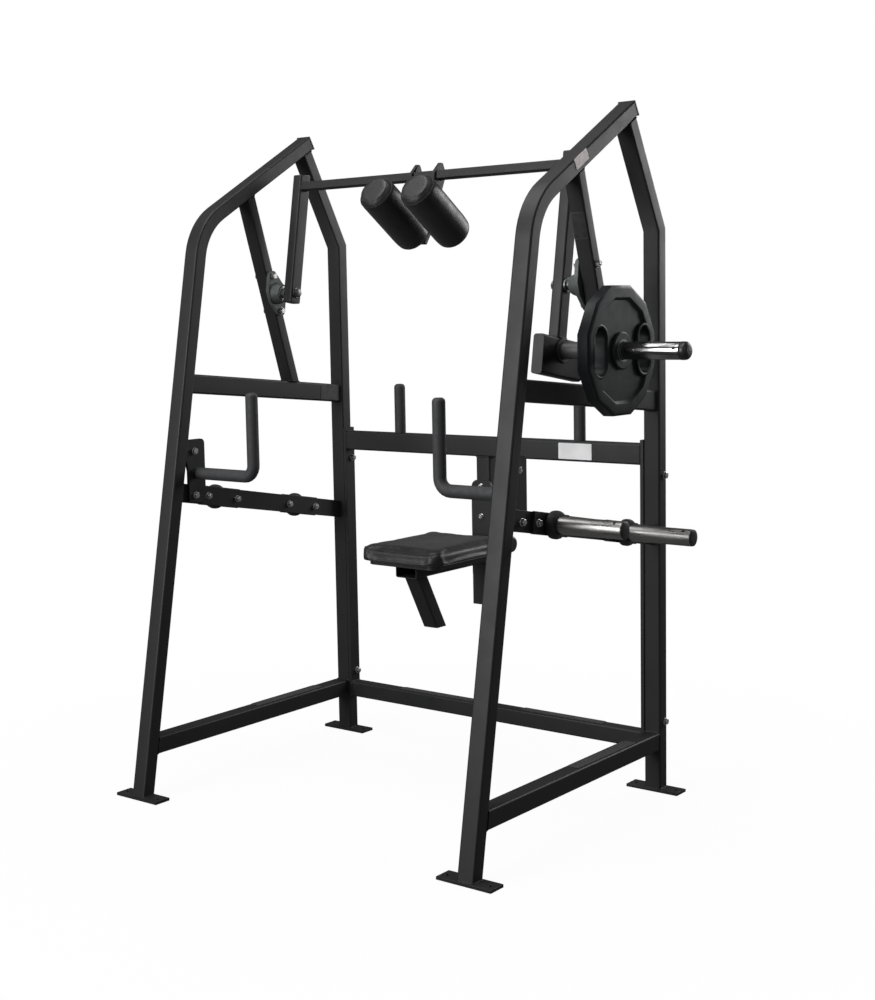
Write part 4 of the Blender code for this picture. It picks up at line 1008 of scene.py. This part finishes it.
def add_camera():
    """Long view from the front right and a little above, level with the pivot."""
    turn, pitch, roll = radians(37.78), radians(6.15), radians(-1.0246)
    forward = Vector((-sin(turn) * cos(pitch), cos(turn) * cos(pitch), -sin(pitch)))
    level = Vector((cos(turn), sin(turn), 0))
    rise = level.cross(forward)
    across = level * cos(roll) + rise * sin(roll)
    upward = rise * cos(roll) - level * sin(roll)
    data = bpy.data.cameras.new("studio_camera")
    data.sensor_fit = "VERTICAL"
    data.sensor_height = 36
    data.lens = 55.70
    data.shift_y = -0.0222
    data.clip_start = 0.05
    camera = bpy.data.objects.new("studio_camera", data)
    bpy.context.scene.collection.objects.link(camera)
    place = Vector((2.930 + MIDLINE_X, -3.5613, 1.4668))
    axes = Matrix((across, upward, -forward)).transposed().to_4x4()
    camera.matrix_world = Matrix.Translation(place) @ axes
    bpy.context.scene.camera = camera


def area_light(name, place, target, size, power):
    data = bpy.data.lights.new(name, "AREA")
    data.shape = "RECTANGLE"
    data.size, data.size_y = size
    data.energy = power
    item = bpy.data.objects.new(name, data)
    bpy.context.scene.collection.objects.link(item)
    item.location = place
    item.rotation_euler = (Vector(target) - Vector(place)).to_track_quat("-Z", "Y").to_euler()


def add_world(ambient):
    """White behind the object, and a dimmer even light on it."""
    world = bpy.data.worlds.new("white_studio")
    world.use_nodes = True
    tree = world.node_tree
    backdrop = tree.nodes["Background"]
    backdrop.inputs["Strength"].default_value = 1.0
    backdrop.inputs["Color"].default_value = (1, 1, 1, 1)
    soft = tree.nodes.new("ShaderNodeBackground")
    soft.inputs["Color"].default_value = (1, 1, 1, 1)
    soft.inputs["Strength"].default_value = ambient
    path = tree.nodes.new("ShaderNodeLightPath")
    choose = tree.nodes.new("ShaderNodeMixShader")
    tree.links.new(path.outputs["Is Camera Ray"], choose.inputs[0])
    tree.links.new(soft.outputs[0], choose.inputs[1])
    tree.links.new(backdrop.outputs[0], choose.inputs[2])
    tree.links.new(choose.outputs[0], tree.nodes["World Output"].inputs["Surface"])
    bpy.context.scene.world = world


def add_floor(radius=6.0):
    """Pale disc that takes faint contact shadows and fades into the white backdrop."""
    bm = bmesh.new()
    bmesh.ops.create_circle(bm, cap_ends=True, segments=96, radius=radius)
    mesh = bpy.data.meshes.new("studio_floor")
    bm.to_mesh(mesh)
    bm.free()
    floor = bpy.data.objects.new("studio_floor", mesh)
    floor.location = (0, 0, -0.0005)
    bpy.context.scene.collection.objects.link(floor)
    material = bpy.data.materials.new("pale_floor")
    material.use_nodes = True
    tree = material.node_tree
    shader = tree.nodes["Principled BSDF"]
    shader.inputs["Base Color"].default_value = (0.85, 0.85, 0.85, 1)
    shader.inputs["Roughness"].default_value = 0.9
    shader.inputs["Specular IOR Level"].default_value = 0.0
    glow = tree.nodes.new("ShaderNodeEmission")
    glow.inputs["Strength"].default_value = 1.0
    place = tree.nodes.new("ShaderNodeTexCoord")
    reach = tree.nodes.new("ShaderNodeVectorMath")
    reach.operation = "LENGTH"
    spread = tree.nodes.new("ShaderNodeMapRange")
    spread.inputs["From Min"].default_value = 0.5
    spread.inputs["From Max"].default_value = 2.2
    spread.inputs["To Min"].default_value = 0.95
    spread.inputs["To Max"].default_value = 1.0
    choose = tree.nodes.new("ShaderNodeMixShader")
    tree.links.new(place.outputs["Object"], reach.inputs[0])
    tree.links.new(reach.outputs["Value"], spread.inputs["Value"])
    tree.links.new(spread.outputs["Result"], choose.inputs[0])
    tree.links.new(shader.outputs[0], choose.inputs[1])
    tree.links.new(glow.outputs[0], choose.inputs[2])
    tree.links.new(choose.outputs[0], tree.nodes["Material Output"].inputs["Surface"])
    mesh.materials.append(material)
    floor.visible_diffuse = False
    floor.visible_glossy = False


def add_lights():
    target = (0, 0, 1.0)
    area_light("key_front_left", (-1.5, -5.3, 2.5), target, (3.0, 3.0), 240)
    area_light("top_soft", (-0.4, -0.8, 4.6), target, (2.6, 2.6), 95)
    area_light("right_strip", (4.4, -1.6, 2.2), target, (0.4, 2.8), 8)
    area_light("rear_fill", (1.6, 4.6, 2.6), target, (2.4, 2.4), 110)


add_camera()
finish_cad_parts()
add_seat_cushion()
add_roller_covers()
add_fasteners()
add_welds()
add_plugs()
add_horn_details()
add_plate_details()
add_labels()
add_treads()
add_world(0.12)
add_floor()
add_lights()
bpy.context.scene.view_settings.view_transform = "Standard"
